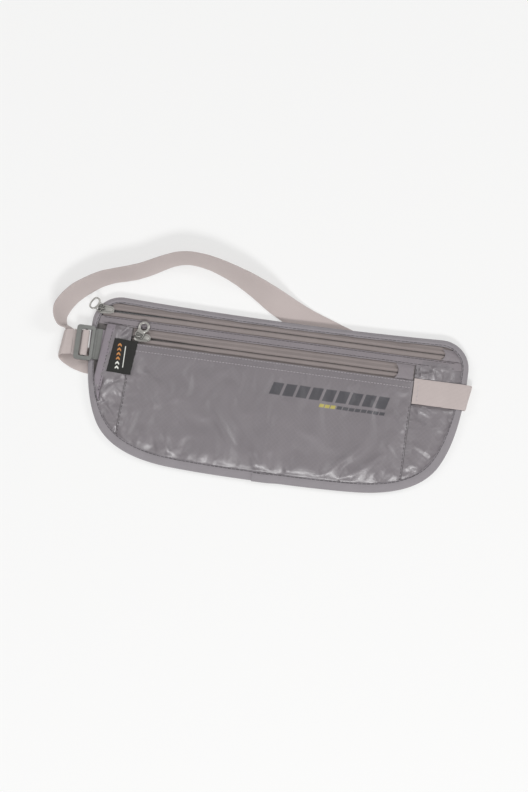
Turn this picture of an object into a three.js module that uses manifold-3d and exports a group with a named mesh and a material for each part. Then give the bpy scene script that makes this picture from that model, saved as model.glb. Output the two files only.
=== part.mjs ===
// A travel money belt lying on its back: a flat D-shaped pouch with two zippers, closed round the
// edge by a folded binding tape, and an elastic waist strap that runs behind it to a flat hook buckle.
// Millimetres. X runs along the zippers, Y points at the pouch's long straight edge, Z points up,
// and the table is Z = 0. Every dimension here is measured from the pouch's middle; the assembly is
// then moved, so that the origin is under the middle of the box round the pouch and its buckle.
import * as THREE from 'three';
import { mergeVertices } from 'three/addons/utils/BufferGeometryUtils.js';
import Module from 'manifold-3d';

const wasm = await Module();
wasm.setup();

// ---------------------------------------------------------------- driving dimensions

const HALF_LENGTH = 140; // half of the pouch's length
const TOP_Y = 61; // straight edge, at its ends
const TOP_SAG = 2.3; // how far its middle sags
const BOTTOM_Y = -61.3;
const CORNER_RADIUS = 21; // the two corners beside the straight edge

const TAPE = 0.45; // thickness of the binding tape
const BINDING_WIDTH = 6;
const BINDING_LAP = 9; // the tape's first stretch, which lies over its last one
const LAP_X = -8; // where the tape starts
const LAP_GROWTH = 0.6; // how far the upper layer of the lap stands outside the lower one
const SEAM_INSET = 1.2; // panels end this far inside the outline, within the binding

const STRAP_WIDTH = 19;
const STRAP_THICK = 1.1;

const FABRIC = 0.3; // thickness of each panel
const REAR_Z = 0.7; // undersides of the layers, above the underside of the binding
const LINING_Z = 1.15;
const DIVIDER_Z = 1.55;
const COIL_Z = 2.65;
const ZIP_TAPE_Z = 3.5;
const OVERLAY_Z = 4.0; // band, pocket hem and end covers lie over the zipper tapes
const BINDING_HEIGHT_TOP = 4.45;
const BINDING_HEIGHT_BOTTOM = 3.6;

const UPPER_ZIP_Y = 50;
const LOWER_ZIP_Y = 32.6;
const ZIP_GAP = 0.8; // between the two tapes, where the slider's fin runs
const COIL_WIDTH = 2;
const COIL_HEIGHT = 0.7;

const BAND_TOP = 45.3;
const BAND_BOTTOM = 39.4;
const HEM_Y = 27.5; // upper edge of the front pocket panel
const POCKET_PUFF = 2.2;
const LEFT_SEAM_X = -109.5;
const RIGHT_SEAM_X = 100.7;
const SEAM_CLEARANCE = 0.3;

const STRIP_WIDTH = 6.5;
const ARCH_Z = 7.4; // the left side panel rises to this height to pass over the hook

const BUCKLE_Z = 4.65;
const BUCKLE_LEFT = -150;
const BUCKLE_RIGHT = -136.3;
const BUCKLE_BOTTOM = 10;
const BUCKLE_TOP = 36;

// ---------------------------------------------------------------- shared shapes

const smooth = (value, low, high) => THREE.MathUtils.smoothstep(value, low, high);
const mix = THREE.MathUtils.lerp;

// The curved edge rests on the table; towards the zippers the pouch lies on the strap behind it.
const lift = (y) => mix(LAP_GROWTH, STRAP_THICK + 0.6, smooth(y, -50, -5));
const bindingHeight = (y) => mix(BINDING_HEIGHT_BOTTOM, BINDING_HEIGHT_TOP, smooth(y, -45, 20));
const frontZ = (y) => bindingHeight(y) - TAPE - 0.2 - FABRIC; // a panel just under the binding's lip

// The right half of the outline, from the middle of the curved edge to the middle of the straight one.
function halfOutline() {
  const point = (x, y) => new THREE.Vector2(x, y);
  const cornerX = HALF_LENGTH - CORNER_RADIUS;
  const cornerY = TOP_Y - CORNER_RADIUS;
  const floor = [point(0, BOTTOM_Y), point(20, BOTTOM_Y), point(48, -61.2), point(70.8, -59.6)];
  const bend = [point(70.8, -59.6), point(98, -57.5), point(120, -49), point(128.7, -29.7)];
  const side = [point(128.7, -29.7), point(137, -13), point(140.3, 12), point(HALF_LENGTH, cornerY)];
  const top = [point(cornerX, TOP_Y), point(60, TOP_Y - TOP_SAG), point(0, TOP_Y - TOP_SAG)];
  const corner = new THREE.EllipseCurve(cornerX, cornerY, CORNER_RADIUS, CORNER_RADIUS, 0, Math.PI / 2);
  return [
    ...new THREE.CubicBezierCurve(...floor).getPoints(5),
    ...new THREE.CubicBezierCurve(...bend).getPoints(9).slice(1),
    ...new THREE.CubicBezierCurve(...side).getPoints(6).slice(1),
    ...corner.getPoints(7).slice(1),
    ...new THREE.QuadraticBezierCurve(...top).getPoints(6).slice(1),
  ];
}

const HALF = halfOutline();

// Half the pouch's width at height y, taken inside the outline by inset.
function halfWidth(y, inset) {
  for (let i = 1; i < HALF.length; i++) {
    const a = HALF[i - 1];
    const b = HALF[i];
    if (y < a.y || y > b.y) continue;
    const slope = Math.hypot(b.x - a.x, b.y - a.y) / (b.y - a.y);
    return mix(a.x, b.x, (y - a.y) / (b.y - a.y)) - inset * slope;
  }
  return 0;
}

// Heights at which the outline has its points, from low to high, with both ends included.
function heightsBetween(low, high) {
  const inside = HALF.map((p) => p.y).filter((y) => y > low + 0.5 && y < high - 0.5);
  return [low, ...inside.sort((a, b) => a - b), high];
}

function geometryFrom(positions, index) {
  const geometry = new THREE.BufferGeometry();
  geometry.setAttribute('position', new THREE.Float32BufferAttribute(positions, 3));
  geometry.setIndex(index);
  geometry.computeVertexNormals();
  return geometry;
}

// A closed sheet of fabric. Each row has a height y and a left and right end; under gives the
// sheet's underside.
function sheet(rows, columns, under, thickness = FABRIC) {
  const positions = [];
  for (const rise of [thickness, 0]) {
    for (const row of rows) {
      for (let j = 0; j <= columns; j++) {
        const x = mix(row.left, row.right, j / columns);
        positions.push(x, row.y, under(x, row.y) + rise + lift(row.y));
      }
    }
  }
  const across = columns + 1;
  const below = rows.length * across;
  const index = [];
  for (let i = 0; i < rows.length - 1; i++) {
    for (let j = 0; j < columns; j++) {
      const a = i * across + j;
      const d = a + across;
      index.push(a, a + 1, d + 1, a, d + 1, d);
      index.push(below + a, below + d + 1, below + a + 1, below + a, below + d, below + d + 1);
    }
  }
  const last = rows.length - 1;
  const rim = [];
  for (let j = 0; j < columns; j++) rim.push(j);
  for (let i = 0; i < last; i++) rim.push(i * across + columns);
  for (let j = columns; j > 0; j--) rim.push(last * across + j);
  for (let i = last; i > 0; i--) rim.push(i * across);
  rim.forEach((p, k) => {
    const q = rim[(k + 1) % rim.length];
    index.push(below + p, below + q, q, below + p, q, p);
  });
  return geometryFrom(positions, index);
}

// A closed solid through a run of rings that all have the same number of corners.
function loft(rings) {
  const corners = rings[0].length;
  const positions = rings.flat().flatMap((p) => [p.x, p.y, p.z]);
  const index = [];
  for (let i = 0; i < rings.length - 1; i++) {
    for (let j = 0; j < corners; j++) {
      const a = i * corners + j;
      const b = i * corners + ((j + 1) % corners);
      index.push(a, b, b + corners, a, b + corners, a + corners);
    }
  }
  return { positions, index, corners };
}

// Closes the two ends of a loft whose section is the given flat polygon.
function capped({ positions, index, corners }, section) {
  const end = positions.length / 3 - corners;
  for (const [a, b, c] of THREE.ShapeUtils.triangulateShape(section, [])) {
    index.push(a, b, c, a + end, c + end, b + end);
  }
  return geometryFrom(positions, index);
}

// A flat ribbon through stations, each with its middle, its direction across, and its width.
function ribbon(stations, thickness) {
  const centres = stations.map((s) => new THREE.Vector3(...s.at));
  const rings = stations.map((station, i) => {
    const before = centres[Math.max(i - 1, 0)];
    const after = centres[Math.min(i + 1, centres.length - 1)];
    const along = after.clone().sub(before).normalize();
    const across = new THREE.Vector3(...station.across).normalize();
    const up = across.clone().cross(along).normalize();
    const corner = (side, rise) => centres[i].clone()
      .addScaledVector(across, side * station.width / 2)
      .addScaledVector(up, rise * thickness / 2);
    return [corner(-1, -1), corner(-1, 1), corner(1, 1), corner(1, -1)];
  });
  const section = [[0, 0], [0, 1], [1, 1], [1, 0]].map(([x, y]) => new THREE.Vector2(x, y));
  return capped(loft(rings), section);
}

function box(x0, x1, y0, y1, z0, z1) {
  const geometry = new THREE.BoxGeometry(x1 - x0, y1 - y0, z1 - z0);
  geometry.translate((x0 + x1) / 2, (y0 + y1) / 2, (z0 + z1) / 2);
  return geometry;
}

// A flat plate with the given outline and holes, from z0 up.
function plate(outline, holes, z0, thickness) {
  const shape = new THREE.Shape(outline);
  shape.holes = holes.map((hole) => new THREE.Path(hole));
  const geometry = new THREE.ExtrudeGeometry(shape, { depth: thickness, bevelEnabled: false });
  geometry.translate(0, 0, z0);
  return geometry;
}

function rounded(x0, x1, y0, y1, radius, steps = 3) {
  const points = [];
  const corners = [[x1 - radius, y0 + radius, -90], [x1 - radius, y1 - radius, 0],
    [x0 + radius, y1 - radius, 90], [x0 + radius, y0 + radius, 180]];
  for (const [cx, cy, from] of corners) {
    for (let i = 0; i <= steps; i++) {
      const angle = THREE.MathUtils.degToRad(from + 90 * i / steps);
      points.push(new THREE.Vector2(cx + radius * Math.cos(angle), cy + radius * Math.sin(angle)));
    }
  }
  return points;
}

// ---------------------------------------------------------------- joining solids

function solid(geometry) {
  const bare = geometry.clone();
  bare.deleteAttribute('normal');
  bare.deleteAttribute('uv');
  const welded = mergeVertices(bare, 1e-4);
  return new wasm.Manifold(new wasm.Mesh({
    numProp: 3,
    vertProperties: new Float32Array(welded.attributes.position.array),
    triVerts: new Uint32Array(welded.index.array),
  }));
}

function joined(...geometries) {
  const total = geometries.map(solid).reduce((sum, next) => sum.add(next));
  const mesh = total.getMesh();
  return geometryFrom(Array.from(mesh.vertProperties), Array.from(mesh.triVerts));
}

// ---------------------------------------------------------------- fabric layers of the pouch

const bindingWidth = (y) => mix(6.8, 4.8, smooth(y, -50, 55));
const bindingInnerX = (y) => halfWidth(y, bindingWidth(y) + SEAM_CLEARANCE);

// A layer that fills the outline up to height top, caught all round in the binding.
function fullLayer(top, z, thickness = FABRIC) {
  const rows = heightsBetween(BOTTOM_Y + SEAM_INSET, top).map((y) => {
    const half = Math.max(halfWidth(y, SEAM_INSET), 20);
    return { y, left: -half, right: half };
  });
  return sheet(rows, 1, () => z, thickness);
}

// The folded tape round the edge: a channel that opens inwards. Its start lies over its end.
function edgeBinding() {
  const right = HALF.slice(1).map((p) => ({ x: p.x, y: p.y, growth: 0 }));
  const left = HALF.slice(1, -1).reverse().map((p) => ({ x: -p.x, y: p.y, growth: 0 }));
  const path = [
    { x: LAP_X, y: BOTTOM_Y, growth: LAP_GROWTH },
    { x: LAP_X + BINDING_LAP, y: BOTTOM_Y, growth: LAP_GROWTH },
    ...right,
    ...left,
    { x: LAP_X, y: BOTTOM_Y, growth: 0 },
    { x: LAP_X + BINDING_LAP, y: BOTTOM_Y, growth: 0 },
  ];
  let section = [];
  const rings = path.map((p, i) => {
    const before = path[Math.max(i - 1, 0)];
    const after = path[Math.min(i + 1, path.length - 1)];
    const outward = new THREE.Vector2(after.y - before.y, before.x - after.x).normalize();
    const height = bindingHeight(p.y);
    const width = bindingWidth(p.y);
    const g = p.growth;
    const channel = [
      [-width, -g], [-width, TAPE - g], [g - TAPE, TAPE - g], [g - TAPE, height - TAPE + g],
      [-width, height - TAPE + g], [-width, height + g], [g, height + g], [g, -g],
    ];
    section = channel.map(([x, y]) => new THREE.Vector2(x, y));
    return channel.map(([out, z]) => new THREE.Vector3(
      p.x + outward.x * out, p.y + outward.y * out, z + lift(p.y)));
  });
  return capped(loft(rings), section);
}

const leftSeam = (y) => LEFT_SEAM_X - 1.5 * smooth(-y, 0, 45);

// The front pocket panel puffs out in its middle and rises over the lower zipper's tape at its hem.
function pocketZ(x, y) {
  const hemRise = (OVERLAY_Z - ZIP_TAPE_Z) * smooth(y, 8, 22);
  const acrossPuff = Math.max(0, 1 - ((x + 4) / 105) ** 2);
  const upPuff = Math.max(0, 1 - ((y + 17) / 36) ** 2);
  return frontZ(y) + hemRise + POCKET_PUFF * acrossPuff * upPuff;
}

function frontPocketPanel() {
  const rows = heightsBetween(BOTTOM_Y + SEAM_INSET, HEM_Y).map((y) => {
    const half = Math.max(halfWidth(y, SEAM_INSET), 20);
    return { y, left: Math.max(leftSeam(y), -half), right: Math.min(RIGHT_SEAM_X, half) };
  });
  return sheet(rows, 10, pocketZ);
}

// The bound strip's two edges. Below Y = 0 its left edge keeps clear of the binding.
const stripFreeLeft = (y) => -133 + 0.092 * (y + 9);
const stripLeft = (y) => Math.max(stripFreeLeft(y), -bindingInnerX(y));
const stripRight = (y) => Math.max(stripFreeLeft(y) + STRIP_WIDTH, stripLeft(y) + 1);

// The left side panel arches up towards its bound edge, to leave room for the hook.
function leftPanelZ(x, y) {
  const arch = smooth(y, -20, 6) * (1 - 0.4 * smooth(y, 35, 39.5));
  return mix(frontZ(y), ARCH_Z, arch * smooth(-x, 109, 121));
}

const STRIP_HEIGHTS = [-18, -12, -6, 0, 6, 12, 20, 28, 35, 37, BAND_BOTTOM - SEAM_CLEARANCE];

function leftSidePanel() {
  const rows = [...heightsBetween(-47, -22), ...STRIP_HEIGHTS].map((y) => {
    const sewn = -halfWidth(y, SEAM_INSET);
    const bound = stripLeft(y) + 0.6;
    return { y, left: mix(sewn, bound, smooth(y, -26, -18)), right: leftSeam(y) - SEAM_CLEARANCE };
  });
  return sheet(rows, 7, leftPanelZ);
}

function rightSidePanel() {
  const rows = heightsBetween(-48, 43).map((y) => (
    { y, left: RIGHT_SEAM_X + SEAM_CLEARANCE, right: halfWidth(y, SEAM_INSET) }));
  return sheet(rows, 1, (x, y) => frontZ(y));
}

// A tape folded over the left side panel's free edge.
function boundEdgeStrip() {
  let section = [];
  const rings = STRIP_HEIGHTS.map((y) => {
    const left = stripLeft(y);
    const right = stripRight(y);
    const z = leftPanelZ(left, y);
    const fold = [
      [left, z - 0.5], [left, z + 0.8], [right, z + 0.8], [right, z + 0.45],
      [left + 0.4, z + 0.45], [left + 0.4, z - 0.15], [right, z - 0.15], [right, z - 0.5],
    ];
    section = fold.map(([x, v]) => new THREE.Vector2(x, v));
    return fold.map(([x, v]) => new THREE.Vector3(x, y, v + lift(y)));
  });
  return capped(loft(rings), section);
}

function middleBand() {
  const rows = [BAND_BOTTOM, BAND_TOP].map((y) => (
    { y, left: -bindingInnerX(y), right: bindingInnerX(y) }));
  return sheet(rows, 1, () => OVERLAY_Z, 0.4);
}

// A small folded label sewn in at the bound strip; it lies over the seam of the pocket.
function label() {
  const rows = [3.3, 12, 21, 28.8].map((y) => (
    { y, left: -124 + 0.11 * (y - 3.3), right: -105.5 + 0.03 * (y - 3.3) }));
  const over = (x, y) => Math.max(leftPanelZ(x, y), pocketZ(x, y)) + FABRIC + 0.4;
  return sheet(rows, 6, over, 0.7);
}

// ---------------------------------------------------------------- zippers

// One side of a zipper: a flat tape, and the coil sewn along its back.
function zipTape(y0, y1, left, right) {
  const base = lift(y0);
  return box(left, right, y0, y1, base + ZIP_TAPE_Z, base + ZIP_TAPE_Z + FABRIC);
}

function zipCoil(y0, left, right) {
  const base = lift(y0);
  return box(left, right, y0, y0 + COIL_WIDTH, base + COIL_Z, base + COIL_Z + COIL_HEIGHT);
}

// A fabric cover over a zipper's closed end. Its free edge is a shallow curve.
function endCover(y0, y1, left, rightAt) {
  const middle = (y0 + y1) / 2;
  const rows = [0, 0.25, 0.5, 0.75, 1].map((t) => {
    const y = mix(y0, y1, t);
    const bow = 2.2 * (1 - ((y - middle) / (y1 - y0) * 2) ** 2);
    return { y, left: left + bow, right: rightAt(y) };
  });
  return sheet(rows, 1, () => OVERLAY_Z, FABRIC);
}

const SLIDER = { length: 12, width: 7.2, plate: 0.75, fin: 0.4 };
const TOP_PLATE_Z = 4.75;
const BOTTOM_PLATE_Z = 2.05;
const BRIDGE = { x: -3.2, post: 0.4, reach: 2.3, width: 0.6, opening: 1.3, top: 0.6 };
const PIVOT_Z = TOP_PLATE_Z + SLIDER.plate + BRIDGE.opening / 2;

// A slider about its own middle, with Z = 0 at the binding's underside. Its wide end points left.
function slider() {
  const half = SLIDER.length / 2;
  const taper = (x) => mix(1, 0.7, (x + half) / SLIDER.length);
  const crown = rounded(-half, half, -SLIDER.width / 2, SLIDER.width / 2, 2.6, 4);
  crown.forEach((p) => { p.y *= taper(p.x); });
  const deck = TOP_PLATE_Z + SLIDER.plate;
  const roof = deck + BRIDGE.opening;
  const side = BRIDGE.width / 2;
  const inner = BRIDGE.reach - BRIDGE.post;
  return joined(
    plate(crown, [], TOP_PLATE_Z, SLIDER.plate),
    plate(rounded(-2.6, 5, -2.6, 2.6, 1.2), [], BOTTOM_PLATE_Z, 0.45),
    box(-0.1, 4.6, -SLIDER.fin / 2, SLIDER.fin / 2, BOTTOM_PLATE_Z + 0.1, TOP_PLATE_Z + 0.1),
    box(BRIDGE.x - BRIDGE.reach, BRIDGE.x - inner, -side, side, deck - 0.1, roof + BRIDGE.top),
    box(BRIDGE.x + inner, BRIDGE.x + BRIDGE.reach, -side, side, deck - 0.1, roof + BRIDGE.top),
    box(BRIDGE.x - BRIDGE.reach, BRIDGE.x + BRIDGE.reach, -side, side, roof, roof + BRIDGE.top),
  );
}

// A puller about its pivot, pointing along +X: a square eye round the slider's bridge, then a ring.
function puller({ ring, hole, ringX }) {
  const thickness = 0.8;
  const ellipse = ([rx, ry], count) => new THREE.EllipseCurve(ringX, 0, rx, ry).getPoints(count).slice(1);
  const eye = plate(rounded(-0.22, 3.7, -3.3, 3.3, 0.6), [rounded(0.22, 2.85, -2.6, 2.6, 0.3)],
    -thickness / 2, thickness);
  const neck = box(3.1, ringX - hole[0] - 0.4, -2.2, 2.2, -thickness / 2, thickness / 2);
  const loop = plate(ellipse(ring, 24), [ellipse(hole, 24)], -thickness / 2, thickness);
  return joined(eye, neck, loop);
}

// ---------------------------------------------------------------- buckle and strap

// The flat hook buckle: a frame with a middle bar for the strap, and a plate that hooks the keeper.
function hookBuckle() {
  const base = lift(BUCKLE_BOTTOM) + BUCKLE_Z;
  const frame = plate(rounded(BUCKLE_LEFT, BUCKLE_RIGHT, BUCKLE_BOTTOM, BUCKLE_TOP, 2.2),
    [rounded(-146.5, -138.5, 12.8, 33.2, 0.8)], base, 2.3);
  const middleBar = box(-143.9, -142.1, 12.3, 33.7, base, base + 1.15);
  const hookPlate = box(-137.2, -126, 11.5, 34.5, base, base + 1.2);
  const lip = box(-126.9, -126, 11.5, 34.5, base + 1, base + 2);
  return joined(frame, middleBar, hookPlate, lip);
}

function hookKeeper() {
  const base = lift(BUCKLE_BOTTOM);
  return box(-130.8, -127.2, 12, 34, base + 6, base + 6.45);
}

// The strap's run over the right side panel and round the pouch's right edge. Each entry is the
// middle of the strap, and how far the direction across it leans from Y towards X.
const RIGHT_RUN = [
  [101.3, 20, 6.35, 0], [110, 20, 6.35, 0], [126, 20, 6.4, 0], [131, 20, 6.9, 0],
  [138.5, 20, 7, 0.05], [141.6, 20.1, 6, 0.12], [142.3, 20.2, 3.8, 0.16], [141.8, 20.4, 1.5, 0.2],
  [139.5, 20.8, 0.65, 0.28], [133, 22.6, 0.65, 0.33],
];

// The run behind the pouch and the free loop beyond its straight edge: the middle of the strap,
// and how far it stands on its edge, in degrees. The outer edge is the raised one.
const LOOP_RUN = [
  [108, 31, 0], [80, 40.5, 0], [50, 50.5, 0], [24, 59.5, 0], [9, 65.4, 4], [-4.3, 71.6, 18],
  [-13, 75.9, 33], [-21.6, 80.4, 44], [-30.5, 84.6, 53], [-39.5, 88.3, 60], [-48.6, 91.5, 65],
  [-57.7, 94.1, 69], [-66.4, 95.6, 71], [-75.4, 96, 72], [-84.6, 94.2, 71], [-93.6, 90.1, 69],
  [-102.5, 85.3, 67], [-111, 81.2, 66], [-119.8, 78.1, 67], [-128.8, 75.3, 68],
  [-137.9, 71.5, 66], [-146.7, 65.8, 62], [-154.6, 59.4, 58], [-160.5, 52, 57], [-164, 44.5, 57],
];

// Where the loop meets the buckle it is bunched and lies down again: middle, direction across, width.
const LOOP_END = [
  { at: [-163.6, 38.8, 7.4], across: [-0.55, -0.1, 0.83], width: 15 },
  { at: [-161.2, 34.4, 5.4], across: [-0.5, -0.2, 0.84], width: 11 },
  { at: [-157, 33, 3.8], across: [-0.4, -0.3, 0.84], width: 7.5 },
  { at: [-154.8, 29, 3.2], across: [-0.45, -0.8, 0.15], width: 8 },
  { at: [-154.2, 25, 3.9], across: [-0.2, -0.97, 0.08], width: 13 },
  { at: [-152.4, 23, 4.3], across: [0, -1, 0], width: 18 },
];

function waistStrap() {
  const rightRun = RIGHT_RUN.map(([x, y, z, lean]) => (
    { at: [x, y, z], across: [lean, 1, 0], width: STRAP_WIDTH }));
  const loop = LOOP_RUN.map(([x, y, tilt], i) => {
    const [bx, by] = LOOP_RUN[Math.max(i - 1, 0)];
    const [ax, ay] = LOOP_RUN[Math.min(i + 1, LOOP_RUN.length - 1)];
    const length = Math.hypot(ax - bx, ay - by);
    const angle = THREE.MathUtils.degToRad(tilt);
    const flat = Math.cos(angle) / length;
    return {
      at: [x, y, 0.65 + Math.sin(angle) * STRAP_WIDTH / 2],
      across: [(ay - by) * flat, (bx - ax) * flat, Math.sin(angle)],
      width: STRAP_WIDTH,
    };
  });
  return ribbon([...rightRun, ...loop, ...LOOP_END], STRAP_THICK);
}

// The strap's path through the buckle, seen from the side: in under the frame, up the right slot,
// over the middle bar, down the left slot and out under the left bar. Each entry is X and the height.
const THREADED_PATH = [
  [-152, 4.3], [-144, 4.3], [-142, 5], [-141, 6.3], [-140.9, 7.4], [-141.6, 8.2],
  [-144.2, 8.25], [-145.2, 7.6], [-145.4, 6.6], [-146.4, 5.8], [-148, 5.65], [-152, 5.65],
];

function strapThreaded() {
  const middle = (BUCKLE_BOTTOM + BUCKLE_TOP) / 2;
  const stations = THREADED_PATH.map(([x, z]) => (
    { at: [x, middle, z], across: [0, 1, 0], width: STRAP_WIDTH }));
  return ribbon(stations, 1);
}

// The strap's free end: it turns under beside the buckle and is tucked behind the pouch.
const TAIL_RUN = [
  [-152.4, 23, 5.7, 0], [-154.5, 22.6, 6.6, 0.03], [-157.4, 21.8, 8.1, 0.06],
  [-159.2, 21.2, 7.4, 0.08], [-160, 20.6, 5.4, 0.1], [-160, 20, 3.2, 0.11], [-158.9, 18.8, 1.4, 0.13],
  [-156, 16.8, 0.75, 0.15], [-150, 13.8, 0.65, 0.18], [-143, 11.6, 0.65, 0.1],
  [-135, 10.8, 0.65, 0.02], [-106, 10.7, 0.65, 0],
];

function strapTail() {
  const stations = TAIL_RUN.map(([x, y, z, lean]) => (
    { at: [x, y, z], across: [lean, 1, 0], width: STRAP_WIDTH }));
  return ribbon(stations, STRAP_THICK);
}

// ---------------------------------------------------------------- the assembly

const material = (color, roughness, metalness = 0) => (
  () => new THREE.MeshStandardMaterial({ color, roughness, metalness }));
const FACE_FABRIC = material(0x87807f, 0.45);
const BACK_FABRIC = material(0x8d8886, 0.9);
const LINING = material(0x9a9a9c, 0.5);
const BINDING = material(0x807d82, 0.8);
const ZIP_FABRIC = material(0x87807a, 0.85);
const NYLON_COIL = material(0x55504c, 0.5);
const ZINC = material(0x77756f, 0.35, 0.9);
const BUCKLE_PLASTIC = material(0x6e706c, 0.45);
const ELASTIC = material(0xbeb0ac, 0.9);
const LABEL_WEAVE = material(0x32322d, 0.8);

const group = new THREE.Group();
group.name = 'money_belt';
group.position.set((HALF_LENGTH * -1 - BUCKLE_LEFT) / 2, -(TOP_Y + BOTTOM_Y - LAP_GROWTH) / 2, 0);

function add(name, geometry, finish, place = group) {
  const mesh = new THREE.Mesh(geometry, finish());
  mesh.name = name;
  place.add(mesh);
  return mesh;
}

// Pouch, from the back to the front
add('rear_panel', fullLayer(57.5, REAR_Z), BACK_FABRIC);
add('shielding_lining', fullLayer(53, LINING_Z, 0.25), LINING);
add('pocket_divider', fullLayer(42, DIVIDER_Z), BACK_FABRIC);
add('front_pocket_panel', frontPocketPanel(), FACE_FABRIC);
add('left_side_panel', leftSidePanel(), FACE_FABRIC);
add('right_side_panel', rightSidePanel(), FACE_FABRIC);
add('middle_band', middleBand(), FACE_FABRIC);
add('bound_edge_strip', boundEdgeStrip(), BINDING);
add('edge_binding', edgeBinding(), BINDING);
add('woven_label', label(), LABEL_WEAVE);

// Zippers
const halfGap = ZIP_GAP / 2;
const zippers = [
  { name: 'upper', y: UPPER_ZIP_Y, top: [56, -127, 126], bottom: [44.2, -133, 130] },
  { name: 'lower', y: LOWER_ZIP_Y, top: [41.5, -108.6, 100.4], bottom: [24, -108.6, 100.4] },
];
for (const { name, y, top, bottom } of zippers) {
  add(`${name}_zip_tape_top`, zipTape(y + halfGap, top[0], top[1], top[2]), ZIP_FABRIC);
  add(`${name}_zip_tape_bottom`, zipTape(bottom[0], y - halfGap, bottom[1], bottom[2]), ZIP_FABRIC);
  add(`${name}_zip_coil_top`, zipCoil(y + halfGap, top[1], top[2]), NYLON_COIL);
  add(`${name}_zip_coil_bottom`, zipCoil(y - halfGap - COIL_WIDTH, bottom[1], bottom[2]), NYLON_COIL);
}
const upperCoverRight = (y) => bindingInnerX(y) - 0.8;
const lowerCoverRight = () => RIGHT_SEAM_X - 0.6;
add('upper_zip_end_cover', endCover(BAND_TOP + 0.3, 53.9, 119, upperCoverRight), FACE_FABRIC);
add('lower_zip_end_cover', endCover(HEM_Y + 0.3, BAND_BOTTOM - 0.3, 86.4, lowerCoverRight), FACE_FABRIC);

// Sliders and pullers stand in a group at each slider's place
const sliders = [
  { name: 'upper', x: -131, y: UPPER_ZIP_Y, turn: 150, ring: [3.2, 4.9], hole: [2, 3.7], ringX: 6.6 },
  { name: 'lower', x: -101.5, y: LOWER_ZIP_Y, turn: 66, ring: [4.4, 4.3], hole: [2.6, 2.5], ringX: 8.4 },
];
for (const { name, x, y, turn, ...shape } of sliders) {
  const carriage = new THREE.Group();
  carriage.position.set(x, y, lift(y));
  group.add(carriage);
  add(`${name}_slider`, slider(), ZINC, carriage);
  const pull = add(`${name}_puller`, puller(shape), ZINC, carriage);
  pull.position.set(BRIDGE.x, 0, PIVOT_Z);
  pull.rotation.z = THREE.MathUtils.degToRad(turn);
}

// Strap and buckle
add('hook_keeper', hookKeeper(), BINDING);
add('hook_buckle', hookBuckle(), BUCKLE_PLASTIC);
add('waist_strap', waistStrap(), ELASTIC);
add('strap_threaded', strapThreaded(), ELASTIC);
add('strap_tail', strapTail(), ELASTIC);

export default group;
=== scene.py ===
import math

import bmesh
import bpy
import numpy as np
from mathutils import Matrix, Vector
from mathutils.geometry import tessellate_polygon


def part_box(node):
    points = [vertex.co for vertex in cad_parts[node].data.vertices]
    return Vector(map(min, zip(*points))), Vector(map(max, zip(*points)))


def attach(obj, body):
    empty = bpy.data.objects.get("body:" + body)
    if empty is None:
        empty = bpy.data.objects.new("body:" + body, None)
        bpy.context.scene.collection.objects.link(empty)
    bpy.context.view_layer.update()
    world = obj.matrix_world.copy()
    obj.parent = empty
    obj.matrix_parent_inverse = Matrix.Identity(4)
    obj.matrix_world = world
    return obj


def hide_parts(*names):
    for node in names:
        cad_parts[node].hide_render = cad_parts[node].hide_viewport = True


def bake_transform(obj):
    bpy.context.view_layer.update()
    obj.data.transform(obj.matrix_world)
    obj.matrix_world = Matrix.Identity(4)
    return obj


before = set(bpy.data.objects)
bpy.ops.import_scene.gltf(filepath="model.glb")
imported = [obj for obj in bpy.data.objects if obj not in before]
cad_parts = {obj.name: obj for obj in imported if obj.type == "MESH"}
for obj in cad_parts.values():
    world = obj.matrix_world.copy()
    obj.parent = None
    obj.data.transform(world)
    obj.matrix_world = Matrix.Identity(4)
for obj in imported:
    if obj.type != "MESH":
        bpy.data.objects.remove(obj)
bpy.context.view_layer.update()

# ---------------------------------------------------------------- driving dimensions

MM = 0.001
HALF_LENGTH = 140
TOP_Y = 61
TOP_SAG = 2.3
BOTTOM_Y = -61.3
CORNER_RADIUS = 21

TAPE = 0.45
LAP_X = -8
LAP = 9
LAP_GROWTH = 0.6
SEAM_INSET = 1.2

STRAP_WIDTH = 19
STRAP_THICK = 1.1
STRAP_REST = 0.65  # height of the strap's middle where it lies flat on the table

FABRIC = 0.3
REAR_Z = 0.7
LINING_Z = 1.15
DIVIDER_Z = 1.55
COIL_Z = 2.65
ZIP_TAPE_Z = 3.5
OVERLAY_Z = 4.0

UPPER_ZIP_Y = 50
LOWER_ZIP_Y = 32.6
ZIP_GAP = 0.8
BAND_TOP = 45.3
BAND_BOTTOM = 39.4
HEM_Y = 27.5
LEFT_SEAM_X = -109.5
RIGHT_SEAM_X = 100.7
STRIP_WIDTH = 6.5
ARCH_Z = 7.4
POCKET_PUFF = 1.9
EDGE_ROLL = 2.0  # how far the cloth stands above the binding's lip just inside it

BUCKLE_Z = 4.65
BUCKLE_LEFT = -150
BUCKLE_RIGHT = -136.3
BUCKLE_BOTTOM = 10
BUCKLE_TOP = 36
BUCKLE_MIDDLE = (BUCKLE_BOTTOM + BUCKLE_TOP) / 2

binding_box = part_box("edge_binding")
ORIGIN = np.array([binding_box[1].x / MM - HALF_LENGTH, binding_box[1].y / MM - TOP_Y, 0])


def smooth(value, low, high):
    t = np.clip((np.asarray(value, float) - low) / (high - low), 0, 1)
    return t * t * (3 - 2 * t)


def mix(a, b, t):
    return a + (b - a) * t


def lift(y):
    """The curved edge rests on the table; towards the zippers the pouch lies on the strap behind it."""
    return mix(LAP_GROWTH, STRAP_THICK + 0.6, smooth(y, -50, -5))


def binding_height(y):
    return mix(3.6, 4.45, smooth(y, -45, 20))


def binding_width(y, x=1):
    """Width of the folded binding; it is caught more deeply at the left, beside the buckle."""
    narrower = 1.3 * (np.asarray(x) < 0) * smooth(y, -45, -12) * (1 - smooth(y, 30, 50))
    return mix(6.8, 4.8, smooth(y, -50, 55)) - narrower


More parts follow.
